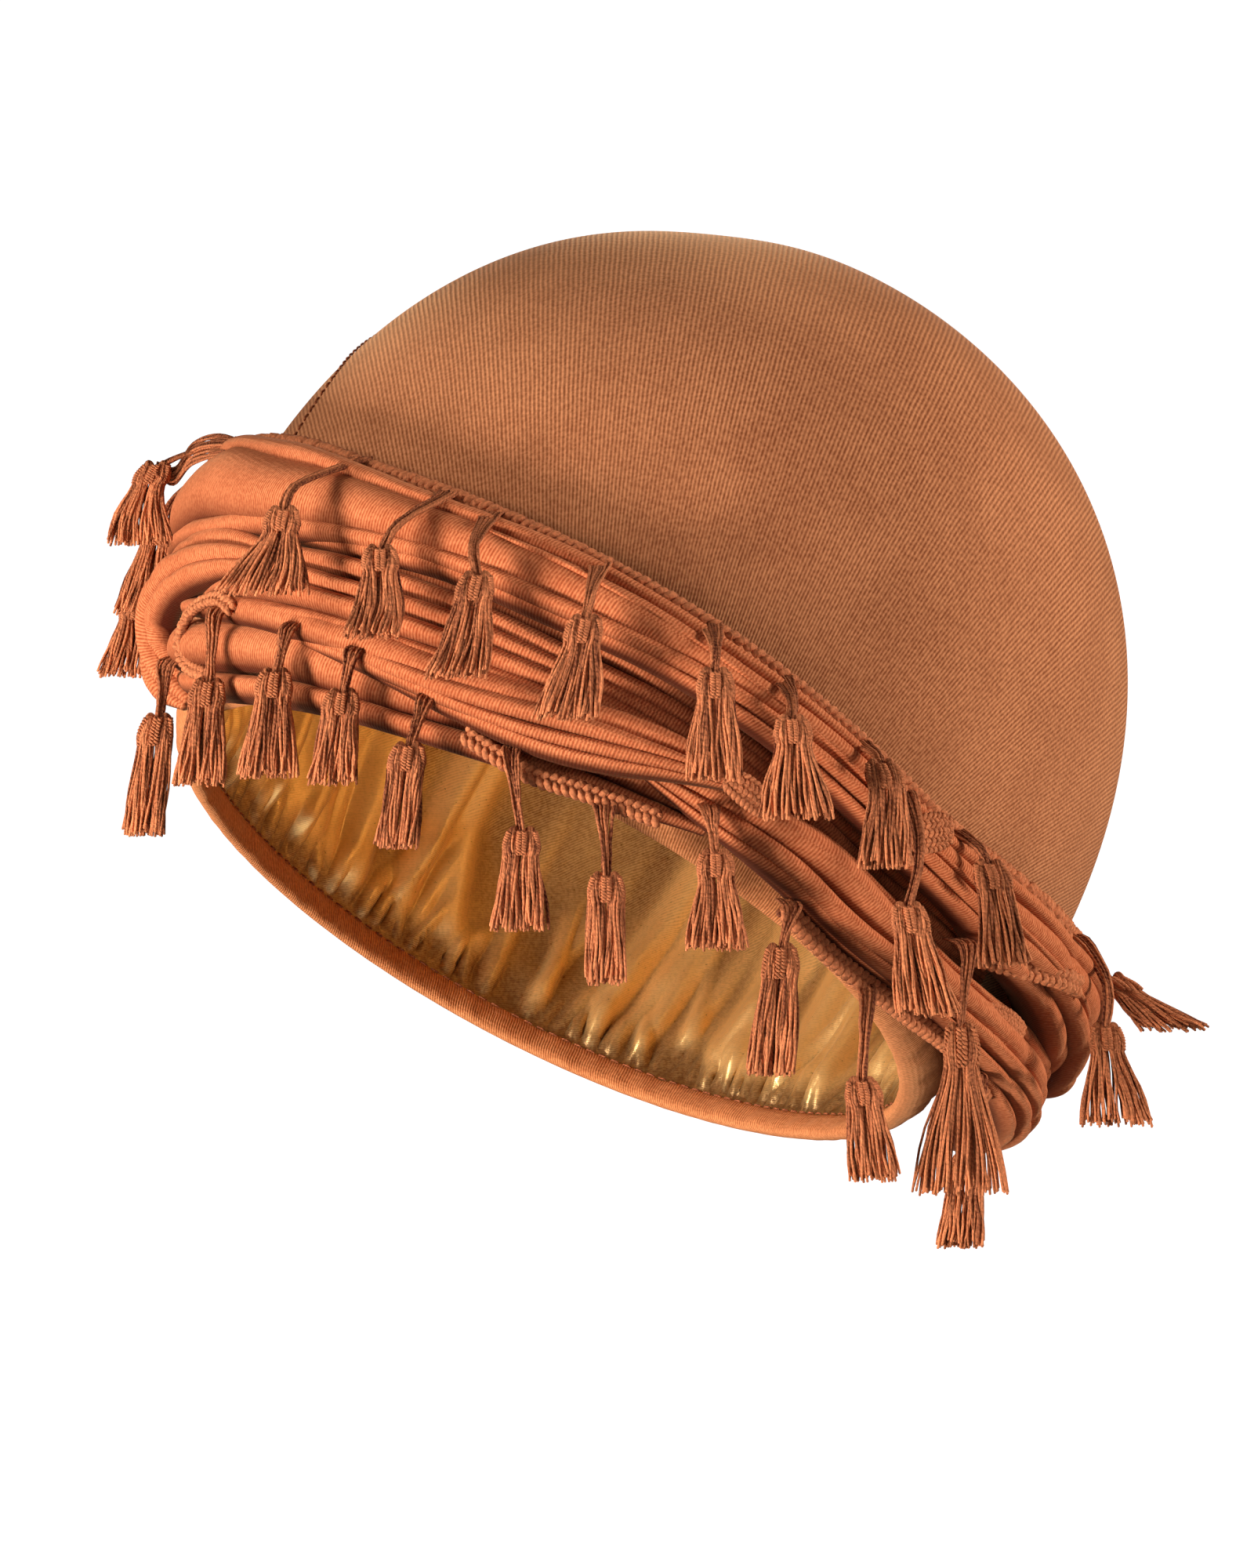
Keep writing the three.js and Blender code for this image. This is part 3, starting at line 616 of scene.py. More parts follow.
class Nodes:
    """Adds shader nodes to a material and links them."""

    def __init__(self, name):
        self.material = bpy.data.materials.get(name) or bpy.data.materials.new(name)
        self.material.use_nodes = True
        self.tree = self.material.node_tree
        self.tree.nodes.clear()
        self.shader = self.tree.nodes.new("ShaderNodeBsdfPrincipled")
        output = self.tree.nodes.new("ShaderNodeOutputMaterial")
        self.tree.links.new(self.shader.outputs[0], output.inputs[0])

    def set(self, node, inputs):
        for key, value in inputs.items():
            if isinstance(value, bpy.types.NodeSocket):
                self.tree.links.new(value, node.inputs[key])
            else:
                node.inputs[key].default_value = value
        return node

    def shade(self, **inputs):
        self.set(self.shader, {key.replace("_", " "): value for key, value in inputs.items()})

    def math(self, operation, first, second=0.0, third=0.0):
        """One sum, by the name that Blender gives it."""
        node = self.tree.nodes.new("ShaderNodeMath")
        node.operation = operation
        return self.set(node, {0: first, 1: second, 2: third}).outputs[0]

    def scaled(self, value, times, plus=0.0):
        """The value times one number, plus another."""
        return self.math("MULTIPLY_ADD", value, times, plus)

    def blend(self, factor, first, second):
        node = self.tree.nodes.new("ShaderNodeMix")
        node.data_type = "RGBA"
        return self.set(node, {0: factor, 6: first, 7: second}).outputs[2]

    def noise(self, scale, detail=2.0):
        place = self.tree.nodes.new("ShaderNodeTexCoord")
        node = self.tree.nodes.new("ShaderNodeTexNoise")
        self.set(node, {"Vector": place.outputs["Object"], "Scale": scale, "Detail": detail})
        return node.outputs["Fac"]

    def spread(self, value, low, high):
        """The value from low to high as 0 to 1, with soft ends."""
        node = self.tree.nodes.new("ShaderNodeMapRange")
        node.interpolation_type = "SMOOTHSTEP"
        return self.set(node, {"Value": value, "From Min": low, "From Max": high}).outputs["Result"]

    def cloth_place(self):
        """Place on the cloth in mm, along and across it."""
        node = self.tree.nodes.new("ShaderNodeUVMap")
        node.uv_map = "cloth"
        parts = self.tree.nodes.new("ShaderNodeSeparateXYZ")
        self.tree.links.new(node.outputs[0], parts.inputs[0])
        return parts.outputs[0], parts.outputs[1]

    def tone(self):
        node = self.tree.nodes.new("ShaderNodeAttribute")
        node.attribute_name = "tone"
        return node.outputs["Fac"]

    def lines(self, place, pitch, wander):
        """Ribs from 0 to 1 at a pitch in mm."""
        phase = self.scaled(place, 2 * math.pi / pitch, wander)
        return self.scaled(self.math("SINE", phase), 0.5, 0.5)

    def bump(self, height, strength, distance):
        node = self.tree.nodes.new("ShaderNodeBump")
        self.set(node, {"Height": height, "Strength": strength, "Distance": distance * MM})
        return node.outputs[0]


def rgba(colour):
    return (*colour, 1.0)


def knit_material(name, light, dark, skew, depth, rib_share, crease_shade=None, sheen=0.12):
    """Jersey: fine ribs crossed by fainter courses, uneven dye, and a soft sheen. Where a piece carries a
    tone, painted shade in the crease shade colour darkens the jersey down the sides of its folds."""
    nodes = Nodes(name)
    along, turn = nodes.cloth_place()
    pitch = sizes().wale_pitch / MM
    wander = nodes.scaled(nodes.noise(120.0), 3.0)
    ribs = nodes.lines(nodes.scaled(turn, skew, along), pitch, wander)
    courses = nodes.lines(turn, 1.5 * pitch, wander)
    fuzz = nodes.noise(1500.0, detail=4.0)
    height = nodes.scaled(fuzz, 1.2, nodes.scaled(courses, 0.35, ribs))
    dye = nodes.spread(nodes.noise(22.0, detail=3.0), 0.25, 0.8)
    speckle = nodes.spread(nodes.noise(1500.0), 0.36, 0.64)
    patchy = nodes.scaled(nodes.spread(nodes.noise(60.0, detail=1.0), 0.3, 0.7), 0.3, 0.7)
    worn = nodes.scaled(dye, 0.1, nodes.scaled(speckle, 0.24))
    mixed = nodes.scaled(nodes.scaled(ribs, patchy), rib_share, worn)
    cloth = nodes.blend(mixed, rgba(dark), rgba(light))
    # Painted shade: the tone blends the knit towards the crease shade colour.
    if crease_shade:
        cloth = nodes.blend(nodes.tone(), rgba(crease_shade), cloth)
    nodes.shade(
        Base_Color=cloth,
        Roughness=nodes.scaled(fuzz, 0.1, 0.85),
        Sheen_Weight=sheen,
        Sheen_Roughness=0.45,
        Sheen_Tint=(1.0, 0.62, 0.30, 1.0),
        Specular_IOR_Level=0.04,
        Normal=nodes.bump(height, strength=depth, distance=0.16),
    )
    return nodes.material


def satin_material():
    """Satin: fine slanting lines, painted shade down in its folds and painted light on their ridges, with a
    metallic gloss.
    """
    nodes = Nodes("lining satin")
    along, turn = nodes.cloth_place()
    wander = nodes.scaled(nodes.noise(120.0), 4.0)
    twill = nodes.lines(nodes.scaled(turn, 0.8, along), sizes().satin_pitch / MM, wander)
    grain = nodes.noise(1500.0, detail=3.0)
    # Painted shade and light from the tone: dark down in the lining's folds, light on their ridges.
    folded = nodes.scaled(nodes.spread(nodes.tone(), 0.03, 0.75), 0.7, 0.06)
    woven = nodes.scaled(nodes.spread(grain, 0.35, 0.65), 0.14, folded)
    mixed = nodes.scaled(twill, 0.24, woven)
    nodes.shade(
        Base_Color=nodes.blend(mixed, rgba(colours().lining_dark), rgba(colours().lining_light)),
        Metallic=0.7,
        Roughness=nodes.scaled(grain, 0.2, 0.22),
        Specular_IOR_Level=0.5,
        Normal=nodes.bump(nodes.scaled(twill, 0.4, grain), strength=0.35, distance=0.1),
    )
    return nodes.material


def thread_material():
    """Plied thread: a twist of fine lines round each thread, its colour set by each piece's tone: uneven
    dye, painted shade among the threads, and lighter at the cut ends.
    """
    nodes = Nodes("plied thread")
    along, turn = nodes.cloth_place()
    wander = nodes.scaled(nodes.noise(900.0), 16.0)
    twist = nodes.lines(nodes.math("ADD", along, turn), 1.0, wander)
    fuzz = nodes.noise(2400.0, detail=3.0)
    dyed = nodes.scaled(nodes.spread(fuzz, 0.35, 0.65), 0.2, nodes.scaled(nodes.tone(), 0.65))
    mixed = nodes.scaled(twist, 0.25, dyed)
    nodes.shade(
        Base_Color=nodes.blend(mixed, rgba(colours().thread_dark), rgba(colours().thread_light)),
        Roughness=nodes.scaled(fuzz, 0.1, 0.7),
        Sheen_Weight=0.05,
        Sheen_Tint=(1.0, 0.5, 0.25, 1.0),
        Specular_IOR_Level=0.08,
        Normal=nodes.bump(twist, strength=0.6, distance=0.1),
    )
    return nodes.material


# Pieces.


def crown_surface(rings=110, sides=300):
    """The crown's dome, with its cloth's slow unevenness and the soft valley at its front left."""
    around = np.linspace(-180, 180, sides + 1)[None, :]
    share = np.linspace(CROWN_TUCK, 1, rings + 1)[:-1, None] + 0 * around
    around = around + 0 * share
    rise = np.sin(math.pi * np.maximum(share, 0))
    valley = np.exp(-(((around + 24 + 20 * share) / 17) ** 2)) * rise**2
    uneven = ripple(share * CROWN_CLIMB, np.radians(around), seed=11, pitch=90, turns=3)
    inset = 1.6 * valley + 0.12 * rise * uneven
    return held(dome_point(around, share, inset))


def crown_cloth_place(points):
    """Place on the knit in mm: its ribs fan out from a level line below the mouth that runs front to
    back, and its courses circle that line."""
    across = points[..., 0] - RIB_FAN_X
    above = points[..., 2] - RIB_FAN_Z
    return RIB_FAN_REACH * np.arctan2(across, above), np.hypot(across, above)


def ridges(around, share, rng, spacing, widths, spread, climb):
    """Ridges up the lining, from 0 to about 1: bells at uneven places round it, steeper on one side, that
    lean, widen and die out as they climb."""
    places = np.cumsum(rng.uniform(*spacing, 200))
    total = np.zeros(np.broadcast(around, share).shape)
    for place in places[places < 360 - spacing[0]] - 180:
        lean = rng.normal(0, 14)
        wide = rng.uniform(*widths)
        tall = rng.uniform(0.35, 1.0)
        top = rng.uniform(*climb)
        away = (around - place - lean * share + 180) % 360 - 180
        steep = np.where(away > 0, 1.4, 0.6)
        shown = np.clip((top - share) / (0.6 * top), 0, 1)
        total += tall * shown * np.exp(-((away / (steep * wide * (1 + spread * share))) ** 2))
    return total


def lining_folds(around, share, seed=5):
    """How far the satin stands in, in mm: wide ridges, narrow ones near the hem, a crinkle between them,
    and a ruffle of small ridges where it comes out from under the hem. All but the ruffle rise
    smoothly from the seam."""
    rng = np.random.default_rng(seed)
    depth = sizes().fold_depth / MM
    wide, narrow, ruffle = (ridges(around, share, rng, *row) for row in LINING_RIDGES)
    angle = np.radians(around)
    fade = np.clip(1 - share, 0, 1)
    crinkle = 0.5 * fade * (1 + ripple(share * LINING_CLIMB, angle, seed + 1, pitch=40, turns=26, waves=14))
    gather = ripple(share * 40, angle, seed + 3, pitch=30, turns=70, waves=12)
    past_seam = share + LINING_SEAM
    sewn = np.clip((past_seam + LINING_SEAM * gather) / 0.11, 0, 1)
    sewn = sewn * sewn * (3 - 2 * sewn)
    grown = 0.5 + 0.5 * np.clip(share / 0.2, 0, 1)
    relief = depth * (wide + 0.5 * narrow) * fade**0.5 * grown + crinkle
    rooted = np.clip(past_seam / 0.025, 0, 1)
    return relief * sewn - LINING_SEWN * (1 - sewn) + 1.8 * rooted * ruffle


def pucker_depth(name, along, turn, length, seed):
    """How far puckers draw a fold in, as a share: lips that fall off steeply on one side and slowly on
    the other, on lines that cross the fold at a slant and bow over its outer side."""
    depth = np.zeros(np.broadcast(along, turn).shape)
    away = np.angle(np.exp(1j * turn))
    for number, (place, slant, deep, wide) in enumerate(PUCKERS.get(name, [])):
        bow = place * length + 5 * slant * away + 3.5 * away**2
        gone = along - bow - 1.2 * ripple(along, turn, seed + number, pitch=30, turns=2)
        lip = np.where(gone > 0, np.exp(-np.abs(gone) / wide), np.exp(-np.abs(gone) / (2.6 * wide)))
        depth = depth + deep * lip * np.exp(-((away / 1.3) ** 2))
    return depth


def fold_rings(name, number, count, sides):
    """One fold of a strand: an ellipse carried along the strand's run at its own place in the strand,
    with slow swells, small wrinkles and puckers."""
    run = wall_run(STRANDS[name], count)
    rows = FOLDS[name][number]
    place = smooth_rows(rows, np.linspace(0, len(rows) - 1, count)) / 100
    turn = np.linspace(0, 2 * math.pi, sides + 1)[None, :]
    along = run["run"][:, None]
    seed = 200 * (1 + sorted(STRANDS).index(name)) + 20 * number
    swell = 1 + 0.05 * ripple(along, turn, seed, pitch=45, turns=2)
    swell = swell + 0.01 * ripple(along, turn, seed + 1, pitch=14, turns=3)
    swell = swell - pucker_depth(name, along, turn, run["run"][-1], seed + 2)
    half = run["values"][:, 3:5]
    sway = 0.07 * np.stack([ripple(run["run"], 0, seed + step, pitch=55) for step in (8, 9)], -1)
    middle = half * (place[:, :2] + sway)
    size = (half * place[:, 2:])[:, None, :] * swell[..., None]
    across = middle[:, :1] + size[..., 0] * np.sin(turn)
    out = middle[:, 1:] + size[..., 1] * np.cos(turn)
    axes = run["across"][:, None], run["out"][:, None]
    points = run["centre"][:, None] + across[..., None] * axes[0] + out[..., None] * axes[1]
    girth = turn * (half * place[:, 2:]).mean(-1, keepdims=True)
    # The tone is painted shade: low down the sides of the fold, and lower still on its underside.
    tone = np.clip((np.cos(turn) - 0.2 * np.sin(turn) - 0.08) / 0.72, 0, 1) + 0 * along
    return held(points[:, :-1]), along + 0 * girth, girth, tone[:, :-1]


def strand_piece(name, count=240, sides=40):
    """All the folds of a strand as one piece, with a tone of painted shade down the sides of each fold."""
    folds = [fold_rings(name, number, count, sides) for number in range(len(FOLDS[name]))]
    rings, along, girth, tone = (np.stack(part) for part in zip(*folds))
    ends = rings[:, [0, -1]].mean(2)
    tone = np.concatenate([tone.ravel(), np.full(2 * len(folds), tone.mean())])
    return mesh_piece(f"{name}_cloth", *tubes_faces(rings, ends, along, girth), tone)


def plait_paths(rows, pitch, lift=0.0, abreast=1):
    """Threads of a flat plait, or of several abreast: each swings across its plait once a pitch and in
    and out of it twice, a third of a pitch behind the one before. Plaits abreast draw together at both
    ends and lie over a bow. Also each point's tone: painted shade where its thread dips in under the
    others, lighter where it lies outermost."""
    length = wall_run(rows, 60)["run"][-1]
    run = wall_run(rows, max(8, int(length / pitch * 14)))
    lane = np.repeat(np.arange(abreast), 3)[:, None]
    turns = run["run"][None, :] / pitch + np.tile([0, 1, 2], abreast)[:, None] / 3 + lane / 2
    phase = 2 * math.pi * turns
    swing = 0.27 * pitch
    offset = 2.1 * swing * (lane - (abreast - 1) / 2)
    gather = np.sqrt(np.sin(np.linspace(0.25, math.pi - 0.25, run["run"].size)))[None, :]
    aside = offset * gather
    across = swing * np.sin(phase) + aside
    thread = np.arange(3 * abreast)[:, None]
    loose = 0.16 * swing * ripple(run["run"][None, :], thread, seed=61, pitch=5 * pitch)
    out = 0.44 * swing * np.sin(2 * phase) + lift - 0.05 * aside**2 + loose
    paths = run["centre"] + across[..., None] * run["across"] + out[..., None] * run["out"]
    return held(paths), 0.32 + 0.42 * np.sin(2 * phase)


def braid_groups(name):
    """Threads of a braid and of the woven patches that belong to it."""
    pitch = sizes().plait_pitch / MM * PLAIT_SHARE.get(name, 1.0)
    paths, tone = plait_paths(BRAIDS[name], pitch, BRAID_LIFT.get(name, 0.0))
    groups = [(paths, 0.153 * pitch, BRAID_SIDES, tone)]
    for rows, abreast, patch_pitch in GIMPS.get(name, []):
        paths, tone = plait_paths(rows, patch_pitch, 0.3, abreast)
        groups.append((paths, 0.16 * patch_pitch, BRAID_SIDES, tone))
    return groups


def stitch_row(name, rows, pitch, length, lift, radius):
    """A row of short dark stitches along a line on the wall, as one piece: each is bowed out at its middle
    by the lift."""
    count = int(wall_run(rows, 60)["run"][-1] / pitch)
    run = wall_run(rows, 12 * count)
    places = np.arange(count)[:, None] * pitch + np.linspace(0, length, 5)[None, :]
    bow = lift * np.sin(np.linspace(0, math.pi, 5))
    centre = np.stack([np.interp(places, run["run"], run["centre"][:, i]) for i in range(3)], -1)
    out = np.stack([np.interp(places, run["run"], run["out"][:, i]) for i in range(3)], -1)
    paths = held(centre + bow[None, :, None] * out)
    piece = joined_threads(name, [(paths, radius, THREAD_SIDES, STITCH_TONE)])
    piece.data.materials.append(thread_material())
    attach(piece, BODY)


def tassel_rings(node):
    """Middles and half sizes of a tassel solid's level rings, from its neck down, in mm."""
    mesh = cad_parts[node].data
    flat = np.empty(len(mesh.vertices) * 3)
    mesh.vertices.foreach_get("co", flat)
    points = np.unique(np.round(flat.reshape(-1, 3) / MM, 3), axis=0)
    levels = np.unique(np.round(points[:, 2], 2))[::-1]
    rings = [points[np.abs(points[:, 2] - level) < 0.011] for level in levels[list(SKIRT_RINGS)]]
    middles = np.array([ring.mean(0) for ring in rings])
    halves = np.array([np.abs(ring - ring.mean(0)).max(0)[:2] for ring in rings])
    return middles, halves


def neck_threads(middles, rng):
    """A tassel's neck: a flat band of loose threads from behind its braid to the head, drawn together and
    twisted on its way down."""
    count = sizes().neck_threads
    side = np.linspace(-1, 1, count) + rng.normal(0, 0.1, count)
    front = rng.uniform(-1, 1, count)
    wide = np.array([1.8, 1.5, 0.75, 0.7, 0.9])[:, None]
    deep = np.array([0.2, 0.5, 0.5, 0.7, 0.7])[:, None]
    inward = unit((held(np.array([0.0, 0.0, WIDEST_AT])) - middles[0]) * np.array([1, 1, 0]))
    tucked = middles[0] + NECK_TUCK * inward + np.array([0.0, 0.0, NECK_RISE])
    spine = np.array([tucked, *middles[:4]])
    rows = np.repeat(spine[:, None], count, 1)
    twist = rng.uniform(0.1, 0.5) * rng.choice([-1, 1]) * np.array([0.0, 0.0, 1.0, 1.8, 2.0])[:, None]
    rows[..., 0] += wide * (side * np.cos(twist) - 0.6 * front * np.sin(twist))
    rows[..., 1] += deep * (front * np.cos(twist) + side * np.sin(twist))
    neck = np.moveaxis(smooth_rows(rows, np.linspace(0, 4, 15)), 0, 1)
    neck[:, 1:-1, :2] += rng.normal(0, 0.07, (count, 13, 2))
    return neck, rng.uniform(-0.15, 0.65, (count, 1))


def skirt_threads(middles, halves, rng, stations=12):
    """A tassel's skirt: three layers of threads that start folded over in two lobes at the head, open out
    below it, and wave more the further they hang."""
    across = sizes().skirt_threads // 3
    side = np.tile(np.linspace(-1, 1, across), 3) + rng.normal(0, 0.5 / across, 3 * across)
    layer = np.repeat([-1.0, 0.0, 1.0], across)
    count = len(side)
    within = np.abs(side) * 2 - 1
    bulge = np.sqrt(np.maximum(0.05, 1 - within**2))
    head_side = np.sign(side) * (0.53 + 0.42 * within)
    skirt_side = side + rng.normal(0, 0.05, count)
    mixing = np.array([0.0, 0.0, 0.2, 0.7, 1.0])[:, None]
    depth_share = np.array([0.3, 0.95, 0.85, 0.75, 0.8])[:, None]
    roundness = (1 - mixing) * bulge + mixing * (0.75 + 0.25 * bulge)
    rows = np.repeat(middles[2:, None], count, 1)
    rows[..., 0] += halves[2:, 0, None] * ((1 - mixing) * head_side + mixing * skirt_side) * 1.04
    rows[..., 1] += halves[2:, 1, None] * depth_share * layer * roundness
    rows[0, :, 2] += 2.3 * bulge - 0.9
    rows[-1, :, 2] += rng.uniform(-0.6, 1.0, count)
    skirt = np.moveaxis(smooth_rows(rows, np.linspace(0, 4, stations)), 0, 1)
    phase = rng.uniform(0, 2 * math.pi, (count, 2))
    swing = np.linspace(0, 1, stations)[None, :]
    waves = rng.uniform(6, 12, (count, 2))
    skirt[..., 0] += 0.34 * swing * np.sin(waves[:, :1] * swing + phase[:, :1])
    skirt[..., 1] += 0.40 * swing * np.sin(waves[:, 1:] * swing + phase[:, 1:])
    # Painted shade: the middle layer of threads is darker. The threads grow lighter towards their cut ends.
    inner = 0.35 * (1 - np.abs(layer))[:, None]
    return skirt, rng.uniform(-0.05, 0.85, (count, 1)) - inner + 0.4 * swing**4


def head_stitches(middles, halves):
    """Pairs of threads that twist round each other down a tassel's head, at its edges and its middle."""
    climb = np.linspace(0, 1, 26)
    spine = smooth_rows(middles[2:5], 1.8 * climb)
    half = smooth_rows(halves[2:5], 1.8 * climb)
    stitches = []
    for place, forward in ((-0.86, 0.5), (-0.12, 0.95), (0.14, 0.95), (0.88, 0.5)):
        for start in (0, math.pi):
            turn = 2 * math.pi * climb * 4.2 + start
            path = spine.copy()
            path[:, 0] += place * half[:, 0] + 0.36 * np.cos(turn)
            path[:, 1] += -half[:, 1] * forward + 0.34 * np.sin(turn)
            path[:, 2] += 0.5
            stitches.append(path)
    return np.array(stitches)


def tassel_threads(node, seed):
    """Groups of threads of one tassel: its neck, its skirt and the stitches down its head."""
    rng = np.random.default_rng(seed)
    middles, halves = tassel_rings(node)
    radius = sizes().thread_radius / MM
    neck, neck_tone = neck_threads(middles, rng)
    skirt, skirt_tone = skirt_threads(middles, halves, rng)
    taper = np.linspace(1.05, 0.95, skirt.shape[1])
    return [
        (neck, radius, THREAD_SIDES, neck_tone),
        (skirt, radius * taper, THREAD_SIDES, skirt_tone),
        (head_stitches(middles, halves), radius * 1.1, THREAD_SIDES, 0.5),
    ]


def arch_threads(node, count=24):
    """The spray of threads over the scarf's left end: each runs through the arch's points at its own
    place abreast, and ends in the tassel's head."""
    rng = np.random.default_rng(7)
    middles, _ = tassel_rings(node)
    spine = np.array([*ARCH, middles[2]])
    abreast = np.linspace(-1, 1, count) + rng.normal(0, 0.12, count)
    wide = np.array([1.6, 3.2, 4.2, 4.2, 3.4, 2.0])[:, None]
    rows = np.repeat(spine[:, None], count, 1)
    rows[..., 1] += wide * abreast
    rows[..., 2] += 0.5 * wide * abreast + rng.normal(0, 0.35, (len(spine), count))
    paths = np.moveaxis(smooth_rows(rows, np.linspace(0, len(spine) - 1, 26)), 0, 1)
    return paths, sizes().thread_radius / MM, THREAD_SIDES, rng.uniform(-0.1, 0.6, (count, 1))


# Operators, one for each piece or group of like pieces.


class TURBAN_OT_crown(bpy.types.Operator):
    """Stretches the knit crown over the dome"""

    bl_idname = "turban.crown"
    bl_label = "Crown"

    def execute(self, context):
        points = crown_surface()
        along, turn = crown_cloth_place(points)
        piece = ring_piece("crown_cloth", points[:, :-1], along, turn, dome_top(0.0))
        give_thickness(piece, CROWN_THICK)
        light, dark = colours().crown_light, colours().crown_dark
        material = knit_material("crown knit", light, dark, skew=0.0, depth=0.4, rib_share=0.62, sheen=0.3)
        settle(piece, ["crown"], material)
        self.seam()
        return {"FINISHED"}

    def seam(self):
        """Stitches up the crown's side seam."""
        rows = [(around, height, 0.1) for around, height in CROWN_SEAM]
        stitch_row("crown_seam_stitches", rows, pitch=2.2, length=1.5, lift=0.2, radius=0.22)


class TURBAN_OT_lining(bpy.types.Operator):
    """Gathers the satin lining inside the crown"""

    bl_idname = "turban.lining"
    bl_label = "Lining"

    def execute(self, context):
        sides, rings = 880, 55
        around = np.linspace(-180, 180, sides + 1)[None, :]
        climb = np.linspace(0, 1, rings + 1)[:-1, None] ** 1.5
        share = LINING_TUCK + (1 - LINING_TUCK) * climb + 0 * around
        around = around + 0 * share
        relief = lining_folds(around, share)
        points = dome_point(around, share, LINING_INSET + relief)
        # Painted shade: the tone is dark in the folds' valleys, light on their ridges, and darker just
        # above the seam.
        shaded = 0.7 + 0.3 * np.clip(share[:, :-1] / LINING_SHADE, 0, 1)
        tone = np.clip(0.1 + 1.5 * relief[:, :-1] * MM / sizes().fold_depth, 0, 1) * shaded
        along, turn = share * LINING_CLIMB, np.radians(around) * LINING_RADIUS
        top = dome_top(LINING_INSET)
        piece = ring_piece("lining_cloth", held(points[:, :-1]), along, turn, top, tone)
        give_thickness(piece, LINING_THICK)
        settle(piece, ["lining"], satin_material())
        return {"FINISHED"}


class TURBAN_OT_hem(bpy.types.Operator):
    """Folds the binding strip round the mouth"""

    bl_idname = "turban.hem"
    bl_label = "Hem"

    def execute(self, context):
        sides, rings = 600, 29
        around = np.linspace(-180, 180, sides + 1)[None, :]
        turn = np.radians(np.linspace(*HEM_WRAP, rings))[:, None]
        flat = np.sign(np.sin(turn)) * np.abs(np.sin(turn)) ** 0.7
        pucker = 0.22 * ripple(around * 1.5, turn, seed=31, pitch=9, turns=2)
        height = hem_edge(around) + HEM_TALL / 2 * (1 + flat)
        stand_off = (HEM_HALF_THICK + pucker) * np.cos(turn) - LINING_INSET / 2
        points = wall_point(around + 0 * turn, height, stand_off)
        along, fold = np.radians(around) * HEM_RADIUS, turn * HEM_FOLD_RADIUS
        piece = ring_piece("hem_strip", held(points[:, :-1]), along, fold)
        give_thickness(piece, HEM_CLOTH_THICK)
        # Painted light: the hem's colours are lighter than the crown's to make up for the shade it sits in.
        light, dark = colours().hem_light, colours().hem_dark
        material = knit_material("hem knit", light, dark, skew=0.3, depth=0.5, rib_share=0.64)
        settle(piece, ["hem_binding"], material)
        self.stitches()
        return {"FINISHED"}

    def stitches(self):
        """A row of stitches round the hem's inner side, just below its upper edge."""
        around = np.linspace(-180, 180, 73)
        inner = -HEM_HALF_THICK - LINING_INSET / 2
        rows = np.stack([around, hem_edge(around) + HEM_TALL - 1.0, np.full(73, inner)], -1)
        stitch_row("hem_stitches", rows, pitch=2.8, length=1.6, lift=-0.25, radius=0.2)


class TURBAN_OT_scarf(bpy.types.Operator):
    """Rolls the strands of the scarf along the cap's front"""

    bl_idname = "turban.scarf"
    bl_label = "Scarf"

    def execute(self, context):
        light, dark, crease_shade = colours().scarf_light, colours().scarf_dark, colours().scarf_crease_shade
        material = knit_material(
            "scarf knit", light, dark, skew=0.12, depth=0.4, rib_share=0.62, crease_shade=crease_shade
        )
        for name in STRANDS:
            piece = strand_piece(name)
            settle(piece, [name], material)
        return {"FINISHED"}


class TURBAN_OT_braids(bpy.types.Operator):
    """Plaits the scarf's braided edges"""

    bl_idname = "turban.braids"
    bl_label = "Braids"

    def execute(self, context):
        for name in BRAIDS:
            piece = joined_threads(f"{name}_plait", braid_groups(name))
            settle(piece, [name], thread_material())
        return {"FINISHED"}


class TURBAN_OT_tassels(bpy.types.Operator):
    """Hangs the tassels from the braids"""

    bl_idname = "turban.tassels"
    bl_label = "Tassels"

    def execute(self, context):
        material = thread_material()
        for number in range(1, TASSEL_COUNT + 1):
            node = f"tassel_{number:02d}"
            groups = tassel_threads(node, 100 + number)
            if number == ARCH_TASSEL:
                groups.append(arch_threads(node))
            piece = joined_threads(f"{node}_threads", groups)
            settle(piece, [node], material)
        return {"FINISHED"}


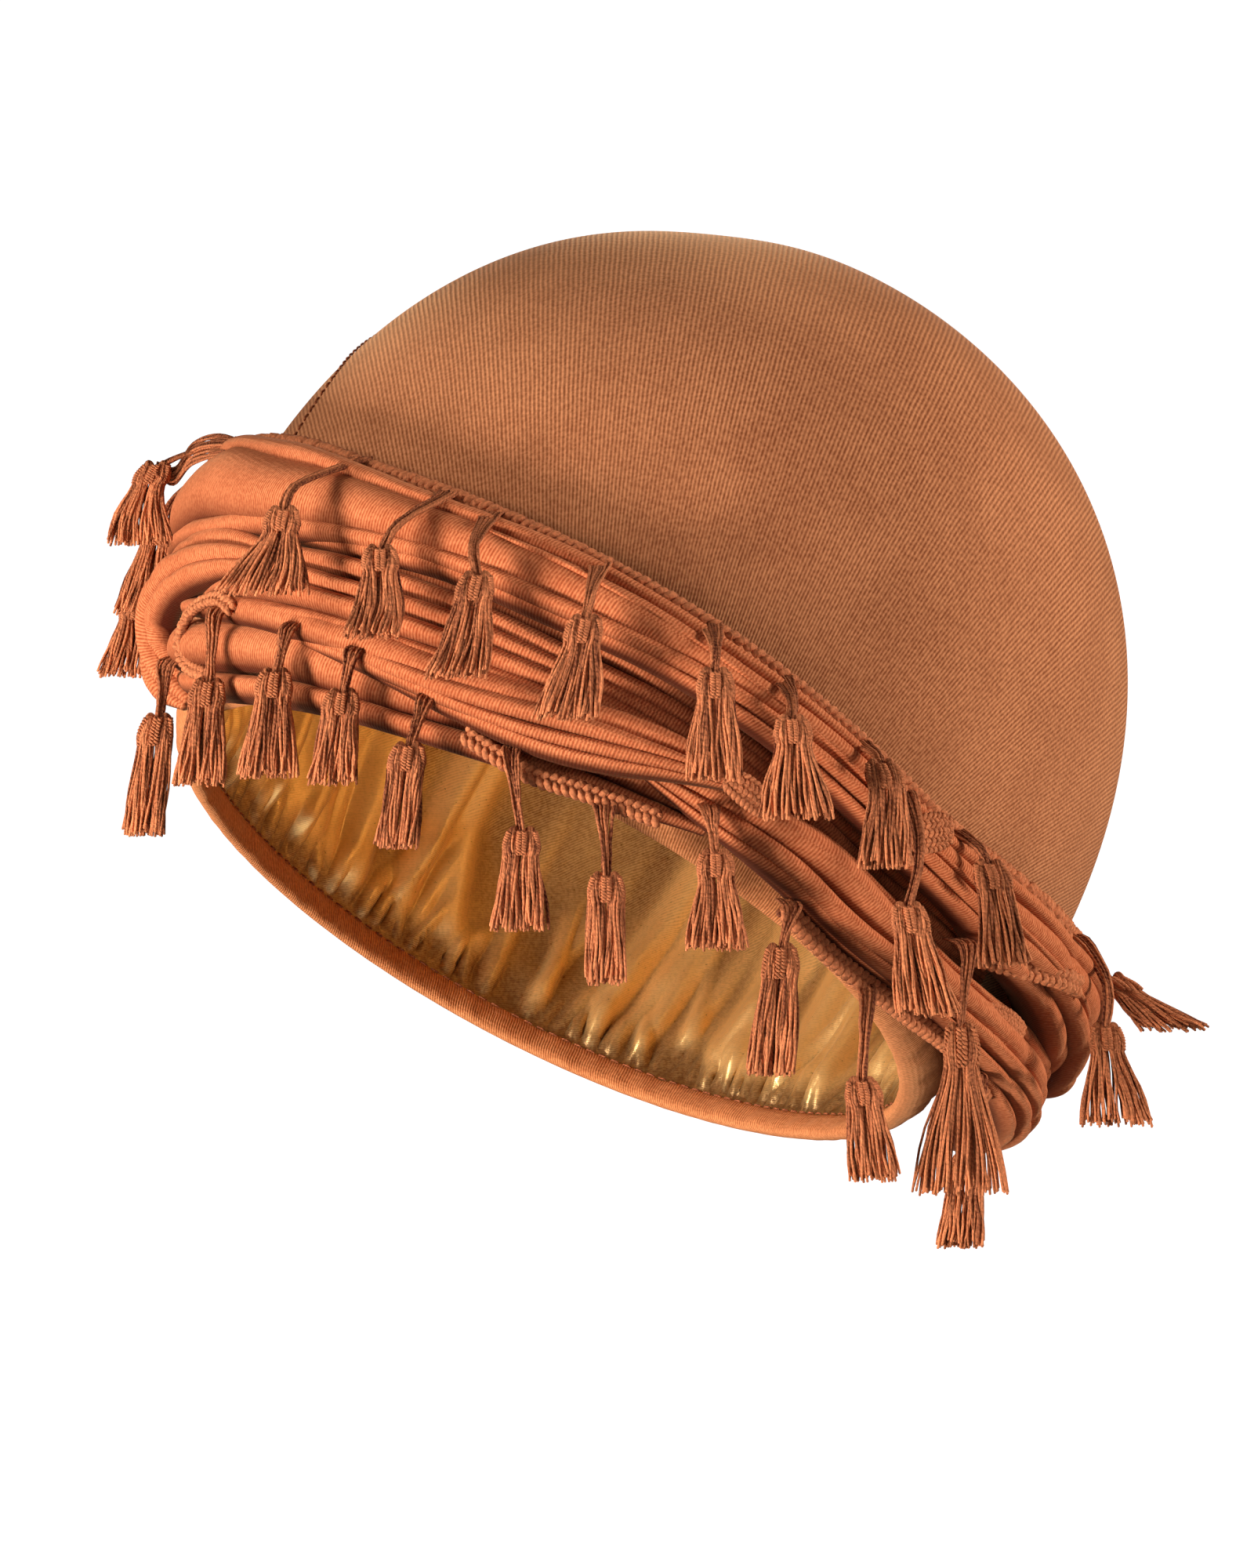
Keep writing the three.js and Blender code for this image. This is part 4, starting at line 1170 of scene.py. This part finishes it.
class TURBAN_OT_stage(bpy.types.Operator):
    """Lays the pale floor, hangs the lights and sets the camera"""

    bl_idname = "turban.stage"
    bl_label = "Stage"

    def execute(self, context):
        self.floor()
        self.lights(context)
        self.camera(context)
        return {"FINISHED"}

    def floor(self):
        """A round floor, and a round backdrop that rises from it: profiles turned about the vertical. Both
        glow evenly for the camera. The cloth's gloss mirrors the floor, but neither lights the cloth in
        another way or holds back a lamp, so the lamps below the floor shine up through it."""
        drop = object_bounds()[0].z / MM - FLOOR_CLEARANCE
        radii = np.array([0.01, 600.0, 1400.0, 2300.0, FLOOR_REACH])
        flat = np.stack([radii, np.full(len(radii), drop)], -1)
        bend = np.linspace(0, math.pi / 2, 16)
        arc = np.stack([np.sin(bend), 1 - np.cos(bend)], -1)
        curve = np.array([FLOOR_REACH, drop]) + BACKDROP_BEND * arc
        rise = np.concatenate([curve, [(FLOOR_REACH + BACKDROP_BEND, BACKDROP_TOP)]])
        ground = self.turned("floor", flat)
        backdrop = self.turned("backdrop", rise)
        backdrop.visible_glossy = False
        for piece in (ground, backdrop):
            piece.visible_diffuse = False
            piece.visible_shadow = False

    def turned(self, name, profile):
        """A profile of radius and height turned about the vertical, facing inwards and up."""
        turn = np.linspace(2 * math.pi, 0, 73)[None, :]
        radius = profile[:, :1]
        points = np.stack([radius * np.cos(turn), radius * np.sin(turn), profile[:, 1:] + 0 * turn], -1)
        piece = ring_piece(name, points[:, :-1], points[..., 0], points[..., 1])
        nodes = Nodes(f"pale {name}")
        nodes.shade(
            Base_Color=rgba(colours().floor),
            Roughness=0.12,
            Specular_IOR_Level=0.08,
            Emission_Color=(1.0, 1.0, 1.0, 1.0),
            Emission_Strength=FLOOR_GLOW,
        )
        piece.data.materials.append(nodes.material)
        piece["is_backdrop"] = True
        return piece

    def lights(self, context):
        """Square lamps round and below the cap, and a faint even light from all sides."""
        world = context.scene.world or bpy.data.worlds.new("studio")
        context.scene.world = world
        world.use_nodes = True
        background = world.node_tree.nodes["Background"]
        background.inputs["Color"].default_value = (1.0, 1.0, 1.0, 1.0)
        background.inputs["Strength"].default_value = WORLD_GLOW
        for name, (place, width, power) in LAMPS.items():
            data = bpy.data.lights.new(name, "AREA")
            data.size = width
            data.energy = power
            lamp = bpy.data.objects.new(name, data)
            lamp.location = place
            lamp.visible_camera = False
            lamp.rotation_euler = aim_euler(LAMP_AIM - np.array(place))
            context.scene.collection.objects.link(lamp)

    def camera(self, context):
        """Level, looking along +Y from a metre away, and shifted to the photograph's framing."""
        data = bpy.data.cameras.new("camera")
        data.lens = 125.28
        data.sensor_width = 36.0
        data.shift_x = 0.0511
        data.shift_y = 0.0844
        camera = bpy.data.objects.new("camera", data)
        camera.location = (0.0, -1.0, 0.0)
        camera.rotation_euler = (math.pi / 2, 0.0, 0.0)
        context.scene.collection.objects.link(camera)
        context.scene.camera = camera
        context.scene.view_settings.view_transform = "Standard"


def aim_euler(aim):
    """The turns about X and Z that point a lamp's -Z along a direction."""
    level = math.hypot(aim[0], aim[1])
    return (math.atan2(level, -aim[2]), 0.0, math.atan2(-aim[0], aim[1]))


OPERATORS = (
    TURBAN_OT_crown,
    TURBAN_OT_lining,
    TURBAN_OT_hem,
    TURBAN_OT_scarf,
    TURBAN_OT_braids,
    TURBAN_OT_tassels,
    TURBAN_OT_stage,
)


class TURBAN_PT_panel(bpy.types.Panel):
    """Lists the turban's pieces, sizes and colours"""

    bl_idname = "TURBAN_PT_panel"
    bl_label = "Turban"
    bl_space_type = "VIEW_3D"
    bl_region_type = "UI"
    bl_category = "Turban"

    def draw(self, context):
        for operator in OPERATORS:
            self.layout.operator(operator.bl_idname)
        for group in (context.scene.turban_sizes, context.scene.turban_colours):
            for name in group.__annotations__:
                self.layout.prop(group, name)


CLASSES = (TurbanSizes, TurbanColours, *OPERATORS, TURBAN_PT_panel)


def register():
    for item in CLASSES:
        bpy.utils.register_class(item)
    bpy.types.Scene.turban_sizes = bpy.props.PointerProperty(type=TurbanSizes)
    bpy.types.Scene.turban_colours = bpy.props.PointerProperty(type=TurbanColours)


def unregister():
    del bpy.types.Scene.turban_colours
    del bpy.types.Scene.turban_sizes
    for item in reversed(CLASSES):
        bpy.utils.unregister_class(item)


def main():
    register()
    bpy.ops.turban.crown()
    bpy.ops.turban.lining()
    bpy.ops.turban.hem()
    bpy.ops.turban.scarf()
    bpy.ops.turban.braids()
    bpy.ops.turban.tassels()
    bpy.ops.turban.stage()


if __name__ == "__main__":
    main()
